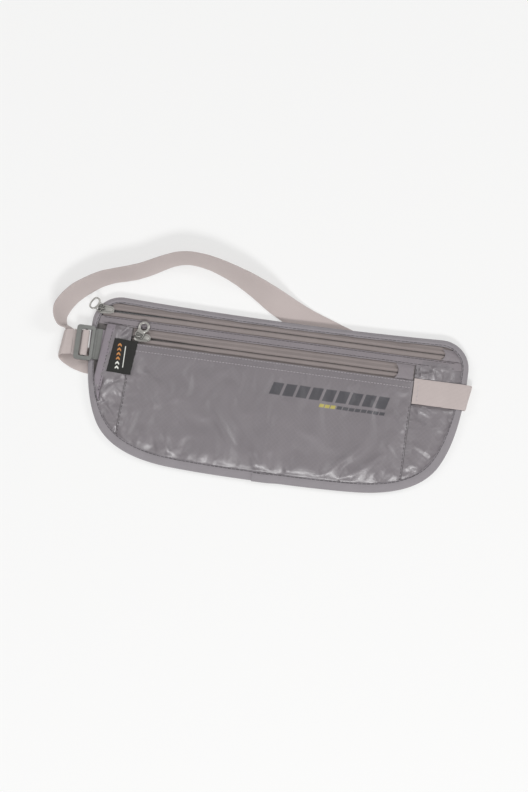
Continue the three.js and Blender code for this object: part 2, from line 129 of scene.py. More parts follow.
def front_z(y):
    """Upper side of a panel that is caught just under the binding's lip."""
    return binding_height(y) - TAPE - 0.2 + lift(y)


def normalised(vectors):
    return vectors / np.maximum(np.linalg.norm(vectors, axis=-1, keepdims=True), 1e-9)


def waves(s, periods, seed):
    """An irregular ripple along s, from -1 to 1: a few sines of unlike periods."""
    phases = np.random.default_rng(seed).uniform(0, 2 * math.pi, len(periods))
    return sum(np.sin(2 * math.pi * s / p + f) for p, f in zip(periods, phases)) / len(periods)


def new_object(name, data):
    """An object for this data, in the scene."""
    made = bpy.data.objects.new(name, data)
    bpy.context.scene.collection.objects.link(made)
    return made


# ---------------------------------------------------------------- camera

VIEW_TURN = math.radians(7.8)
VIEW_ELEVATION = math.radians(80)
VIEW_HEIGHT = 583  # millimetres that the picture covers from top to bottom
VIEW_DISTANCE = 1900
VIEW_CENTRE = np.array([-6.8, 2.0, 3.0])


def make_camera():
    data = bpy.data.cameras.new("camera")
    camera = new_object("camera", data)
    level = np.array([-math.sin(VIEW_TURN), math.cos(VIEW_TURN), 0])
    away = np.array([0, 0, math.sin(VIEW_ELEVATION)]) - level * math.cos(VIEW_ELEVATION)
    camera.location = (VIEW_CENTRE + ORIGIN + away * VIEW_DISTANCE) * MM
    camera.rotation_euler = (math.pi / 2 - VIEW_ELEVATION, 0, VIEW_TURN)
    data.sensor_fit = "VERTICAL"
    data.sensor_height = 24
    data.lens = data.sensor_height * VIEW_DISTANCE / VIEW_HEIGHT
    data.clip_end = 20
    bpy.context.scene.camera = camera


make_camera()

# ---------------------------------------------------------------- materials


class Value:
    """What a material works out at each point: a place, a colour, or a number, with its arithmetic."""

    def __init__(self, socket):
        self.socket = socket
        self.tree = socket.id_data

    def calculate(self, operation, other=0.0):
        return value_of(self.tree, "ShaderNodeMath", {0: self, 1: other}, operation=operation)

    def __add__(self, other):
        return self.calculate("ADD", other)

    def __sub__(self, other):
        return self.calculate("SUBTRACT", other)

    def __rsub__(self, other):
        return value_of(self.tree, "ShaderNodeMath", {0: other, 1: self}, operation="SUBTRACT")

    def __mul__(self, other):
        return self.calculate("MULTIPLY", other)

    def __truediv__(self, other):
        return self.calculate("DIVIDE", other)

    def __pow__(self, other):
        return self.calculate("POWER", other)


def connect(socket, value):
    """Gives a socket its value: a constant, or what another node works out."""
    if isinstance(value, Value):
        value.tree.links.new(value.socket, socket)
    else:
        socket.default_value = value


def add_node(tree, kind, inputs=None, **properties):
    made = tree.nodes.new(kind)
    for key, value in properties.items():
        setattr(made, key, value)
    for key, value in (inputs or {}).items():
        connect(made.inputs[key], value)
    return made


def value_of(tree, kind, inputs=None, output=0, **properties):
    """One output of a new node."""
    return Value(add_node(tree, kind, inputs, **properties).outputs[output])


def mixed(factor, a, b):
    """The colour a where factor is 0 and b where it is 1."""
    made = add_node(factor.tree, "ShaderNodeMix", data_type="RGBA")
    colour_inputs = [i for i in made.inputs if i.type == "RGBA"]
    for socket, value in zip([made.inputs[0], *colour_inputs], [factor, a, b]):
        connect(socket, value)
    return Value(next(o for o in made.outputs if o.type == "RGBA"))


def place_in_frame(tree):
    """The point's place, in millimetres from the pouch's middle."""
    here = value_of(tree, "ShaderNodeTexCoord", output="Object")
    scaled = value_of(tree, "ShaderNodeVectorMath", {0: here, 1: (1 / MM,) * 3}, operation="MULTIPLY")
    return value_of(tree, "ShaderNodeVectorMath", {0: scaled, 1: tuple(ORIGIN)}, operation="SUBTRACT")


def place_on_strip(tree):
    """Millimetres along and across a strip, from the attributes that add_mesh() writes."""
    along = value_of(tree, "ShaderNodeAttribute", output="Fac", attribute_name="along")
    across = value_of(tree, "ShaderNodeAttribute", output="Fac", attribute_name="across")
    return value_of(tree, "ShaderNodeCombineXYZ", {0: along, 1: across})


def axes(place):
    split = add_node(place.tree, "ShaderNodeSeparateXYZ", {0: place})
    return Value(split.outputs["X"]), Value(split.outputs["Y"])


def stripes(place, axis, period, turn=0):
    """Rounded ridges that repeat along one axis of place, from 0 to 1."""
    if turn:
        place = value_of(place.tree, "ShaderNodeVectorRotate",
                         {"Vector": place, "Angle": math.radians(turn)}, rotation_type="Z_AXIS")
    wave = {"Vector": place, "Scale": 0.1 * math.pi / period, "Distortion": 0}
    return value_of(place.tree, "ShaderNodeTexWave", wave, "Fac", bands_direction=axis)


def speckle(place, size, detail=3.0):
    noise = {"Vector": place, "Scale": 1 / size, "Detail": detail}
    return value_of(place.tree, "ShaderNodeTexNoise", noise, "Fac")


def shade(colour, factor):
    return tuple(c * factor for c in colour[:3]) + (1,)


def linear(red, green, blue):
    """A linear colour from one on the usual 0 to 255 scale."""
    def one(value):
        value /= 255
        return value / 12.92 if value <= 0.04045 else ((value + 0.055) / 1.055) ** 2.4
    return one(red), one(green), one(blue), 1


def new_material(name, roughness, **sockets):
    material = bpy.data.materials.new(name)
    material.use_nodes = True
    shader = material.node_tree.nodes["Principled BSDF"]
    shader.inputs["Roughness"].default_value = roughness
    for key, value in sockets.items():
        shader.inputs[key.replace("_", " ")].default_value = value
    return material, material.node_tree, shader


def finish_bump(shader, height, depth):
    bump = {"Height": height, "Strength": 1.0, "Distance": depth * MM}
    connect(shader.inputs["Normal"], value_of(height.tree, "ShaderNodeBump", bump, "Normal"))


def woven(name, colour, roughness, thread, depth, place=place_in_frame, ripstop=None, ribs=None,
          decorate=None, mottle=0.12, **sockets):
    """A plain weave: crossing ridges one thread apart, uneven dye, and paler high spots as painted
    highlight.
    ripstop is the spacing of a slanted reinforcing grid, ribs the period of ridges along the strip."""
    material, tree, shader = new_material(name, roughness, **sockets)
    where = place(tree)
    weave = stripes(where, "X", thread) * stripes(where, "Y", thread)
    height = weave
    fuzz = speckle(where, 0.9, 2)
    tone = mixed(speckle(where, 14), shade(colour, 1 - mottle), shade(colour, 1 + mottle))
    # Painted highlight: the weave's raised crossings are made paler.
    tone = mixed(weave * 0.35, tone, shade(colour, 1.25))
    tone = mixed(fuzz * 0.22, tone, shade(colour, 0.72))
    if ribs:
        ridge = stripes(where, "Y", ribs)
        # Painted shade: the hollows between the ribs are made darker.
        tone = mixed((1 - ridge) * 0.3, tone, shade(colour, 0.6))
        height = height * 0.4 + ridge
    if ripstop:
        grid = stripes(where, "X", ripstop, 45).calculate("MAXIMUM", stripes(where, "Y", ripstop, 45))
        lines = grid ** 12 * speckle(where, 35, 1)
        tone = mixed(lines * 0.3, tone, shade(colour, 1.4))
        height = height + lines * 2
        connect(shader.inputs["Roughness"], fuzz * 0.16 + roughness - 0.08)
    if decorate:
        tone = decorate(where, tone)
    connect(shader.inputs["Base Color"], tone)
    finish_bump(shader, height, depth)
    return material


def within(value, low, high, blur=0.25):
    """1 where value is between low and high, with soft edges."""
    rising = {"Value": value, "From Min": low - blur, "From Max": low + blur}
    falling = {"Value": value, "From Min": high + blur, "From Max": high - blur}
    rise, fall = [value_of(value.tree, "ShaderNodeMapRange", edge) for edge in (rising, falling)]
    return rise * fall


def slanted_bars(where, left, right, bottom, top, period, filled, slant=0.28):
    """A row of leaning bars between the given edges. filled is each bar's share of the period."""
    x, y = axes(where)
    leaning = x - (y - bottom) * slant
    share = ((leaning - left) / period).calculate("FRACT")
    return within(share, 0, filled, 0.02) * (within(leaning, left, right) * within(y, bottom, top))


PRINT_DARK = linear(62, 60, 66)
PRINT_YELLOW = linear(180, 168, 78)

# Each row of bars: left, right, bottom, top, period, share of the period that is filled, colour.
PRINT_ROWS = [
    (-3.5, 84.5, 3.2, 12.4, 9.8, 0.8, PRINT_DARK),
    (34, 46.6, -1.6, 0.9, 4.2, 0.84, PRINT_YELLOW),
    (47, 83, -1.6, 0.9, 4.5, 0.86, PRINT_DARK),
]


def pocket_print(where, tone):
    """A plain row of leaning bars with a thin two-colour line below it."""
    for *bars, colour in PRINT_ROWS:
        tone = mixed(slanted_bars(where, *bars), tone, colour)
    return tone


LABEL_ORANGE = linear(196, 134, 74)
LABEL_WHITE = linear(228, 228, 222)


def label_marks(where, tone):
    """A column of small orange and white chevrons beside a thin white line."""
    x, y = axes(where)
    offset = (x + 116.8).calculate("ABSOLUTE")
    step = ((y + offset) / 3.4).calculate("FRACT")
    chevrons = within(step, 0.1, 0.55, 0.05) * within(offset, -1, 1.35)
    line = within(x, -112.9, -112.3, 0.12) * within(y, 8, 24)
    tone = mixed(chevrons * within(y, 13, 25.5), tone, LABEL_ORANGE)
    tone = mixed(chevrons * within(y, 6.2, 12.4), tone, LABEL_WHITE)
    return mixed(line, tone, LABEL_WHITE)


# Recesses are painted dark as shade wherever an ambient occlusion test finds another surface within this
# distance.
RECESS_DEPTH = 2.4  # how near another surface must be for a recess to stay dark, in millimetres


def cast(name, colour, roughness, metallic, grain, depth, recess_shade=0.0, **sockets):
    """A hard piece: fine grain, uneven gloss, and paler worn spots. Its recesses get painted shade, near
    black, in the share that the argument after depth gives.
    """
    material, tree, shader = new_material(name, roughness, Metallic=metallic, **sockets)
    where = place_in_frame(tree)
    fine = speckle(where, grain, 4)
    broad = speckle(where, 5)
    tone = mixed(broad, shade(colour, 0.82), shade(colour, 1.18))
    tone = mixed(fine * 0.35, tone, shade(colour, 0.62))
    # Painted shade: where another surface is near, the colour goes towards black.
    if recess_shade:
        open_air = value_of(tree, "ShaderNodeAmbientOcclusion", {"Distance": RECESS_DEPTH * MM}, "AO",
                            samples=8)
        tone = mixed((1 - open_air ** 2) * recess_shade, tone, shade(colour, 0.04))
    connect(shader.inputs["Base Color"], tone)
    connect(shader.inputs["Roughness"], broad * 0.16 + (roughness - 0.08))
    finish_bump(shader, fine, depth)
    return material


NYLON = linear(119, 113, 117)
RIPSTOP = {"ripstop": 2.5, "Specular_IOR_Level": 0.9, "Coat_Weight": 0.45, "Coat_Roughness": 0.32}
FACE = woven("ripstop_nylon", NYLON, 0.36, 0.34, 0.03, **RIPSTOP)
PRINTED = woven("ripstop_nylon_printed", NYLON, 0.36, 0.34, 0.03, decorate=pocket_print, **RIPSTOP)
BAND = woven("band_nylon", linear(131, 124, 128), 0.5, 0.34, 0.03, ripstop=2.5, Specular_IOR_Level=0.7)
BACK = woven("brushed_back_cloth", linear(139, 134, 133), 0.9, 0.6, 0.1, Sheen_Weight=0.3)
SHIELD = woven("shielding_cloth", linear(160, 160, 162), 0.4, 0.3, 0.03, Metallic=0.6)
BINDING = woven("binding_tape", linear(146, 141, 145), 0.8, 0.55, 0.08, place=place_on_strip,
                Sheen_Weight=0.25)
STRIP = woven("bound_edge_tape", linear(140, 132, 139), 0.75, 0.5, 0.06, Sheen_Weight=0.25)
ZIP_CLOTH = woven("zipper_tape", linear(146, 136, 134), 0.8, 0.42, 0.05, place=place_on_strip, ribs=0.85,
                  Sheen_Weight=0.2)
ELASTIC = woven("waist_elastic", linear(196, 184, 181), 0.85, 0.5, 0.07, place=place_on_strip, ribs=0.95,
                mottle=0.05, Sheen_Weight=0.3)
LABEL = woven("label_weave", linear(25, 25, 22), 0.7, 0.28, 0.03, decorate=label_marks, Sheen_Weight=0.2)
DARK_THREAD = woven("dark_thread", linear(72, 68, 72), 0.8, 0.2, 0.03)
LIGHT_THREAD = woven("light_thread", linear(192, 186, 190), 0.7, 0.2, 0.03)
COIL = cast("zipper_coil", linear(46, 42, 40), 0.5, 0, 0.5, 0.01)
ZINC = cast("gunmetal_casting", linear(182, 180, 175), 0.28, 0.5, 0.9, 0.004, recess_shade=1.0)
PLASTIC = cast("buckle_plastic", linear(124, 125, 122), 0.36, 0, 0.3, 0.012, recess_shade=0.5,
               Specular_IOR_Level=0.75)

# ---------------------------------------------------------------- mesh helpers


def add_mesh(name, points, faces, material, body="pouch", strip=None, bevel=0, sharp=40, slot=None,
             nodes=()):
    """A piece from points in millimetres. strip holds each point's distance along and across."""
    mesh = bpy.data.meshes.new(name)
    place = (np.asarray(points, float).reshape(-1, 3) + ORIGIN) * MM
    mesh.from_pydata(place.tolist(), [], [[int(i) for i in face] for face in faces])
    mesh.materials.append(material)
    for key, values in zip(("along", "across"), strip or ()):
        attribute = mesh.attributes.new(key, "FLOAT", "POINT")
        attribute.data.foreach_set("value", np.asarray(values, np.float32).ravel())
    piece = new_object(name, mesh)
    if bevel:
        modifier = piece.modifiers.new("edges", "BEVEL")
        modifier.width = bevel * MM
        modifier.segments = 3
        modifier.angle_limit = math.radians(35)
        apply_modifiers(piece)
    piece.data.shade_smooth()
    piece.data.set_sharp_from_angle(angle=math.radians(sharp))
    if body:
        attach(piece, body)
    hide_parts(*nodes)
    return piece


def apply_modifiers(piece):
    evaluated = piece.evaluated_get(bpy.context.evaluated_depsgraph_get())
    piece.data = bpy.data.meshes.new_from_object(evaluated)
    piece.modifiers.clear()


def grid_faces(rows, columns):
    index = np.arange(rows * columns).reshape(rows, columns)
    corners = [index[:-1, :-1], index[:-1, 1:], index[1:, 1:], index[1:, :-1]]
    return np.stack(corners, -1).reshape(-1, 4)


def add_cloth(name, x, y, z, material, thickness=FABRIC, strip=None, **details):
    """A closed piece of cloth from grids of its upper side; x grows along rows and y up columns."""
    x, y, z = np.broadcast_arrays(x, y, z)
    rows, columns = x.shape
    count = rows * columns
    upper = np.stack([x, y, z], -1).reshape(-1, 3)
    faces = grid_faces(rows, columns)
    index = np.arange(count).reshape(rows, columns)
    rim = np.concatenate([index[0, :-1], index[:-1, -1], index[-1, :0:-1], index[:0:-1, 0]])
    after = np.roll(rim, -1)
    sides = np.stack([rim + count, after + count, after, rim], -1)
    points = np.concatenate([upper, upper - [0, 0, thickness]])
    if strip is not None:
        strip = [np.tile(np.broadcast_to(s, x.shape).ravel(), 2) for s in strip]
    all_faces = [*faces, *(faces[:, ::-1] + count), *sides]
    return add_mesh(name, points, all_faces, material, strip=strip, **details)


def loft_faces(count, corners, ends=True):
    index = np.arange(count * corners).reshape(count, corners)
    beside = np.roll(index, -1, axis=1)
    faces = list(np.stack([index[:-1], index[1:], beside[1:], beside[:-1]], -1).reshape(-1, 4))
    if ends:
        faces += [index[0], index[-1][::-1]]
    return faces


def merged(*meshes):
    """Several (points, faces) as one."""
    points, faces, start = [], [], 0
    for some_points, some_faces in meshes:
        points.append(np.asarray(some_points, float))
        faces += [[int(i) + start for i in face] for face in some_faces]
        start += len(some_points)
    return np.concatenate(points), faces


def plate(outline, holes, z0, z1):
    """A flat plate with holes, as points and faces."""
    loops = [np.asarray(loop, float) for loop in [outline, *holes]]
    flat = np.concatenate(loops)
    count = len(flat)
    caps = tessellate_polygon([[Vector((x, y, 0)) for x, y in loop] for loop in loops])
    points = np.concatenate([np.c_[flat, np.full(count, z0)], np.c_[flat, np.full(count, z1)]])
    faces = [face for a, b, c in caps for face in [(a, b, c), (c + count, b + count, a + count)]]
    start = 0
    for loop in loops:
        ring = np.arange(len(loop)) + start
        after = np.roll(ring, -1)
        faces += list(np.stack([ring, after, after + count, ring + count], -1))
        start += len(loop)
    return points, faces


def rounded(x0, x1, y0, y1, radius, steps=6):
    corners = [(x1 - radius, y0 + radius, -90), (x1 - radius, y1 - radius, 0),
               (x0 + radius, y1 - radius, 90), (x0 + radius, y0 + radius, 180)]
    return [(cx + radius * math.cos(angle), cy + radius * math.sin(angle))
            for cx, cy, start in corners
            for angle in np.radians(np.linspace(start, start + 90, steps + 1))]


def even_normals(piece):
    """Turns every face outwards."""
    work = bmesh.new()
    work.from_mesh(piece.data)
    bmesh.ops.recalc_face_normals(work, faces=work.faces)
    work.to_mesh(piece.data)
    work.free()
    return piece


def curve_through(stations, step):
    """A smooth line through stations, whose first three numbers are a place, at even steps."""
    stations = np.asarray(stations, float)
    ends = np.vstack([2 * stations[0] - stations[1], stations, 2 * stations[-1] - stations[-2]])
    t = np.linspace(0, 1, 24, endpoint=False)[:, None]
    spans = [0.5 * (2 * b + (c - a) * t + (2 * a - 5 * b + 4 * c - d) * t**2
                    + (3 * b - a - 3 * c + d) * t**3)
             for a, b, c, d in zip(ends, ends[1:], ends[2:], ends[3:])]
    dense = np.vstack([*spans, stations[-1:]])
    travelled = distance_along(dense[:, :3])
    where = np.linspace(0, travelled[-1], max(2, round(travelled[-1] / step)) + 1)
    return np.stack([np.interp(where, travelled, column) for column in dense.T], 1)


def distance_along(points):
    return np.concatenate([[0], np.cumsum(np.linalg.norm(np.diff(points, axis=0), axis=1))])


def tube(line, radius, sides=6, closed=False):
    """Points and faces of a round wire along a line. radius may be a pair: across and upwards."""
    wide, high = radius if isinstance(radius, tuple) else (radius, radius)
    line = np.asarray(line, float)
    if closed:
        forward = normalised(np.roll(line, -1, 0) - np.roll(line, 1, 0))
    else:
        forward = normalised(np.gradient(line, axis=0))
    guide = np.where(np.abs(forward[:, 2:]) > 0.9, [1.0, 0, 0], [0, 0, 1.0])
    across = normalised(np.cross(guide, forward))
    up = np.cross(forward, across)
    angle = np.linspace(0, 2 * math.pi, sides, endpoint=False)
    rings = (line[:, None] + across[:, None] * (wide * np.cos(angle))[None, :, None]
             + up[:, None] * (high * np.sin(angle))[None, :, None])
    if closed:
        rings = np.concatenate([rings, rings[:1]])
        faces = loft_faces(len(rings), sides, ends=False)
        count = len(line) * sides
        faces = [[int(i) % count for i in face] for face in faces]
        return rings[:-1].reshape(-1, 3), faces
    return rings.reshape(-1, 3), loft_faces(len(rings), sides)


def turned(points, degrees):
    angle = math.radians(degrees)
    along = [math.cos(angle), -math.sin(angle), 0]
    across = [math.sin(angle), math.cos(angle), 0]
    return points @ np.array([along, across, [0, 0, 1]]).T


# ---------------------------------------------------------------- waist strap

# The strap's run over the right side panel and round the pouch's right edge. Each entry is the
# middle of the strap, and how far the direction across it leans from Y towards X.
RIGHT_RUN = [
    (101.3, 20, 6.35, 0), (110, 20, 6.35, 0), (126, 20, 6.4, 0), (131, 20, 6.9, 0),
    (138.5, 20, 7, 0.05), (141.6, 20.1, 6, 0.12), (142.3, 20.2, 3.8, 0.16), (141.8, 20.4, 1.5, 0.2),
    (139.5, 20.8, STRAP_REST, 0.28), (133, 22.6, STRAP_REST, 0.33),
]

# The run behind the pouch and the free loop: the middle of the strap, and how many degrees it
# stands on its edge. The outer edge is the raised one.
LOOP_RUN = [
    (108, 31, 0), (80, 40.5, 0), (50, 50.5, 0), (24, 59.5, 0), (9, 65.4, 4), (-4.3, 71.6, 18),
    (-13, 75.9, 33), (-21.6, 80.4, 44), (-30.5, 84.6, 53), (-39.5, 88.3, 60), (-48.6, 91.5, 65),
    (-57.7, 94.1, 69), (-66.4, 95.6, 71), (-75.4, 96, 72), (-84.6, 94.2, 71), (-93.6, 90.1, 69),
    (-102.5, 85.3, 67), (-111, 81.2, 66), (-119.8, 78.1, 67), (-128.8, 75.3, 68), (-137.9, 71.5, 66),
    (-146.7, 65.8, 62), (-154.6, 59.4, 58), (-160.5, 52, 57), (-164, 44.5, 57),
]

# Where the loop meets the buckle it is bunched and lies down again: middle, across, width.
LOOP_END = [
    (-163.6, 38.8, 7.4, -0.55, -0.1, 0.83, 15),
    (-161.2, 34.4, 5.4, -0.5, -0.2, 0.84, 11),
    (-157, 33, 3.8, -0.4, -0.3, 0.84, 7.5),
    (-154.8, 29, 3.2, -0.45, -0.8, 0.15, 8),
    (-154.2, 25, 3.9, -0.2, -0.97, 0.08, 13),
    (-152.4, 23, 4.3, 0, -1, 0, 18),
]

# The strap's path through the buckle, seen from the side: X and the height.
THREADED_PATH = [
    (-152, 4.3), (-144, 4.3), (-142, 5), (-141, 6.3), (-140.9, 7.4), (-141.6, 8.2),
    (-144.2, 8.25), (-145.2, 7.6), (-145.4, 6.6), (-146.4, 5.8), (-148, 5.65), (-152, 5.65),
]

# The strap's free end turns under beside the buckle and is tucked behind the pouch.
TAIL_RUN = [
    (-152.4, 23, 5.7, 0), (-154.5, 22.6, 6.6, 0.03), (-157.4, 21.8, 8.1, 0.06),
    (-159.2, 21.2, 7.4, 0.08), (-160, 20.6, 5.4, 0.1), (-160, 20, 3.2, 0.11), (-158.9, 18.8, 1.4, 0.13),
    (-156, 16.8, 0.75, 0.15), (-150, 13.8, STRAP_REST, 0.18), (-143, 11.6, STRAP_REST, 0.1),
    (-135, 10.8, STRAP_REST, 0.02), (-106, 10.7, STRAP_REST, 0),
]


def leaning(run):
    return [(x, y, z, lean, 1, 0, STRAP_WIDTH) for x, y, z, lean in run]


def loop_stations():
    middle = np.array([(x, y) for x, y, tilt in LOOP_RUN], float)
    tilt = np.radians([tilt for x, y, tilt in LOOP_RUN])
    ahead = np.roll(middle, -1, 0)
    behind = np.roll(middle, 1, 0)
    ahead[-1], behind[0] = middle[-1], middle[0]
    travel = normalised(ahead - behind)
    height = STRAP_REST + np.sin(tilt) * STRAP_WIDTH / 2
    across = np.c_[travel[:, 1] * np.cos(tilt), -travel[:, 0] * np.cos(tilt), np.sin(tilt)]
    return np.c_[middle, height, across, np.full(len(middle), STRAP_WIDTH)].tolist()


def add_strap(name, stations, thickness, seed, body="pouch", nodes=(), start=0.0):
    """A flat elastic through stations: a slightly domed ribbon with soft, uneven edges."""
    stations = np.asarray(stations, float)
    columns = 17
    side = np.linspace(-1, 1, columns)
    centre = stations[:, :3]
    across = normalised(stations[:, 3:6])
    up = normalised(np.cross(normalised(np.gradient(centre, axis=0)), across))
    travelled = distance_along(centre) + start
    half = stations[:, 6] / 2
    ragged = 1 + 0.012 * waves(travelled, [3.1, 7.7, 23], seed)
    flutter = 0.1 * waves(travelled, [11, 19, 41], seed + 1)
    rise = thickness / 2 * (1 - 0.45 * np.abs(side) ** 14)
    spread = centre[:, None] + across[:, None] * (half * ragged)[:, None, None] * side[None, :, None]
    spread = spread + up[:, None] * (flutter[:, None] * side[None] ** 3)[..., None]
    upper = spread + up[:, None] * rise[None, :, None]
    lower = spread - up[:, None] * rise[None, :, None]
    rings = np.concatenate([upper, lower[:, ::-1]], axis=1)
    along = np.repeat(travelled, 2 * columns)
    over = np.tile(np.concatenate([side, side[::-1]]) * STRAP_WIDTH / 2, len(stations))
    piece = add_mesh(name, rings, loft_faces(len(stations), 2 * columns), ELASTIC, body=body,
                     strip=(along, over), slot="elastic", nodes=nodes)
    return even_normals(piece)


# The last stretch before the buckle is a piece of its own.
whole_run = curve_through(leaning(RIGHT_RUN) + loop_stations() + LOOP_END, 1.5)
LEAD_START = 40.5  # the strap's height beside the buckle at which the lead begins
lead_from = next(i for i, s in enumerate(whole_run) if s[0] < -150 and s[1] < LEAD_START)
main_run = whole_run[:lead_from + 1]
lead_run = whole_run[lead_from:]
main_length = distance_along(main_run[:, :3])[-1]

waist_strap = add_strap("waist_elastic_loop", main_run, STRAP_THICK, 1, nodes=["waist_strap"])
strap_lead = add_strap("waist_elastic_lead", lead_run, STRAP_THICK, 1, body=None, start=main_length)
tail_run = curve_through(leaning(TAIL_RUN), 1.5)
strap_tail = add_strap("waist_elastic_tail", tail_run, STRAP_THICK, 5, body=None, nodes=["strap_tail"])
threaded_run = curve_through([(x, BUCKLE_MIDDLE, z, 0, 1, 0, STRAP_WIDTH) for x, z in THREADED_PATH], 0.6)
strap_threaded = add_strap("waist_elastic_threaded", threaded_run, 1, 7, body="buckle",
                           nodes=["strap_threaded"])


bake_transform(strap_lead)
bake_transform(strap_tail)

# ---------------------------------------------------------------- the pouch's outline


def bezier(points, count):
    points = np.asarray(points, float)
    t = np.linspace(0, 1, count + 1)[:, None]
    degree = len(points) - 1
    return sum(math.comb(degree, i) * (1 - t) ** (degree - i) * t**i * p for i, p in enumerate(points))


def half_outline():
    corner_x = HALF_LENGTH - CORNER_RADIUS
    corner_y = TOP_Y - CORNER_RADIUS
    angle = np.linspace(0, math.pi / 2, 21)
    corner = np.c_[corner_x + CORNER_RADIUS * np.cos(angle), corner_y + CORNER_RADIUS * np.sin(angle)]
    return np.vstack([
        bezier([(0, BOTTOM_Y), (20, BOTTOM_Y), (48, -61.2), (70.8, -59.6)], 40)[:-1],
        bezier([(70.8, -59.6), (98, -57.5), (120, -49), (128.7, -29.7)], 40)[:-1],
        bezier([(128.7, -29.7), (137, -13), (140.3, 12), (HALF_LENGTH, corner_y)], 40)[:-1],
        corner[:-1],
        bezier([(corner_x, TOP_Y), (60, TOP_Y - TOP_SAG), (0, TOP_Y - TOP_SAG)], 60),
    ])


HALF = half_outline()
LOOP = np.vstack([HALF[:-1], HALF[::-1][:-1] * [-1, 1]])
LOOP_TRAVEL = distance_along(LOOP)


def outward_normals(line):
    tangent = normalised(np.roll(line, -1, 0) - np.roll(line, 1, 0))
    return np.c_[tangent[:, 1], -tangent[:, 0]]


LOOP_NORMALS = outward_normals(LOOP)
INSIDE_BINDING = binding_width(LOOP[:, 1]) + 0.3
INSIDE_LEFT_BINDING = binding_width(LOOP[:, 1], -1) + 0.3


def inner_line(inset, count):
    """The outline's first points, moved inwards. inset is one number, or one for each point of LOOP."""
    inset = np.broadcast_to(inset, len(LOOP))[:, None]
    return (LOOP - LOOP_NORMALS * inset)[:count]


def half_width(y, inset):
    """Half the pouch's width at height y, taken inside the outline by inset."""
    inner = inner_line(inset, np.argmax(HALF[:, 1]) + 1)
    return np.interp(y, inner[:, 1], inner[:, 0])


def curved_edge(x, inset):
    """Height of the curved edge at x, taken inside the outline by inset."""
    inner = inner_line(inset, np.argmax(HALF[:, 0]) + 1)
    return np.interp(np.abs(x), inner[:, 0], inner[:, 1])


def edge_distance(x, y):
    """Each point's distance to the outline, and how far round the outline that is."""
    x, y = np.broadcast_arrays(x, y)
    points = np.stack([x.ravel(), y.ravel()], -1)
    nearest = np.empty(len(points), int)
    distance = np.empty(len(points))
    for start in range(0, len(points), 4000):
        part = points[start:start + 4000]
        gap = np.linalg.norm(part[:, None] - LOOP[None], axis=2)
        nearest[start:start + 4000] = gap.argmin(1)
        distance[start:start + 4000] = gap.min(1)
    return distance.reshape(x.shape), LOOP_TRAVEL[nearest].reshape(x.shape)


# ---------------------------------------------------------------- folds in the front panels

# Soft creases in the front panels: both ends, half width, and height (negative is a valley).
CREASES = [
    (-43, -14, -18, -47, 4.5, 1.0), (-30, -12, -2, -46, 5.5, -0.7), (-76, -36, -68, -54, 4.5, 1.1),
    (-84, -40, -80, -54, 3.5, -0.7), (-60, -38, -61, -55, 4, -0.7), (-92, -34, -96, -50, 3.5, 0.8),
    (-103, -24, -108, -42, 3, 0.8), (-98, -20, -103, -44, 3, -0.6), (-10, -38, -5, -54, 4, 0.9),
    (4, -40, 6, -54, 3.5, -0.6), (14, -42, 18, -55, 3, 0.5), (40, -54, 72, -24, 4.5, 1.15),
    (58, -54, 86, -30, 4.5, 0.9), (62, -44, 58, -54, 4, 0.8), (84, -20, 98, -38, 4, 0.6),
    (76, -46, 88, -40, 3.5, 0.6), (-100, 8, -78, -4, 4, 0.7), (-100, 0, -84, -16, 4, -0.6),
    (-60, 6, -38, 16, 7, 0.4), (92, -4, 99, -10, 4, 0.5), (90, 12, 99, 15, 4, -0.4),
    (26, -18, 52, -30, 6, 0.45), (-70, -14, -52, -30, 6, -0.5),
    (-125, 2, -130.5, -22, 1.6, -1.8), (-116, -1, -127, -17, 2.2, 0.9), (-112, 1, -124, -8, 2, -0.8),
    (-122, 2, -126, -12, 2, 0.7), (-118, 31, -113, 39, 1.8, 0.7), (-113, 30, -111, 38, 1.6, -0.6),
    (-128, -26, -115, -36, 2.6, 1.0), (-126, -16, -113, -30, 2.6, -0.7), (-121, -34, -112, -45, 2.4, 0.8),
    (-120, 2, -112, -12, 3, 0.6), (-116, -8, -111, -22, 2.6, -0.5),
    (106, 30, 104, 40, 1.8, 0.9), (111, 30, 109, 40, 1.8, -0.8), (116, 30, 113, 40, 2.0, 0.9),
    (122, 31, 120, 40, 2.2, -0.6), (102, 9, 116, 3, 2.4, 0.9), (102, 6, 112, -4, 2.4, -0.6),
    (104, 32, 118, 36, 2.2, 0.8),
    (106, 30, 124, 31, 1.8, -0.5), (104, -20, 122, -26, 3.2, 0.6), (104, -34, 116, -38, 2.8, 0.6),
    (118, 20, 132, -6, 4, 0.4), (110, 38, 130, 40, 2.2, 0.5),
]

CREASE_GAIN = 1.35  # how much higher than listed each crease is made
CREASE_NARROWING = 0.72  # how much narrower


def creases(x, y):
    total = np.zeros(np.shape(x))
    for x0, y0, x1, y1, width, height in CREASES:
        length = math.hypot(x1 - x0, y1 - y0)
        along = ((x - x0) * (x1 - x0) + (y - y0) * (y1 - y0)) / length
        aside = ((x - x0) * (y1 - y0) - (y - y0) * (x1 - x0)) / length
        fade = smooth(along, -width, 0.35 * length) * (1 - smooth(along, 0.65 * length, length + width))
        total += CREASE_GAIN * height * fade * np.exp(-((aside / (CREASE_NARROWING * width)) ** 2))
    return total


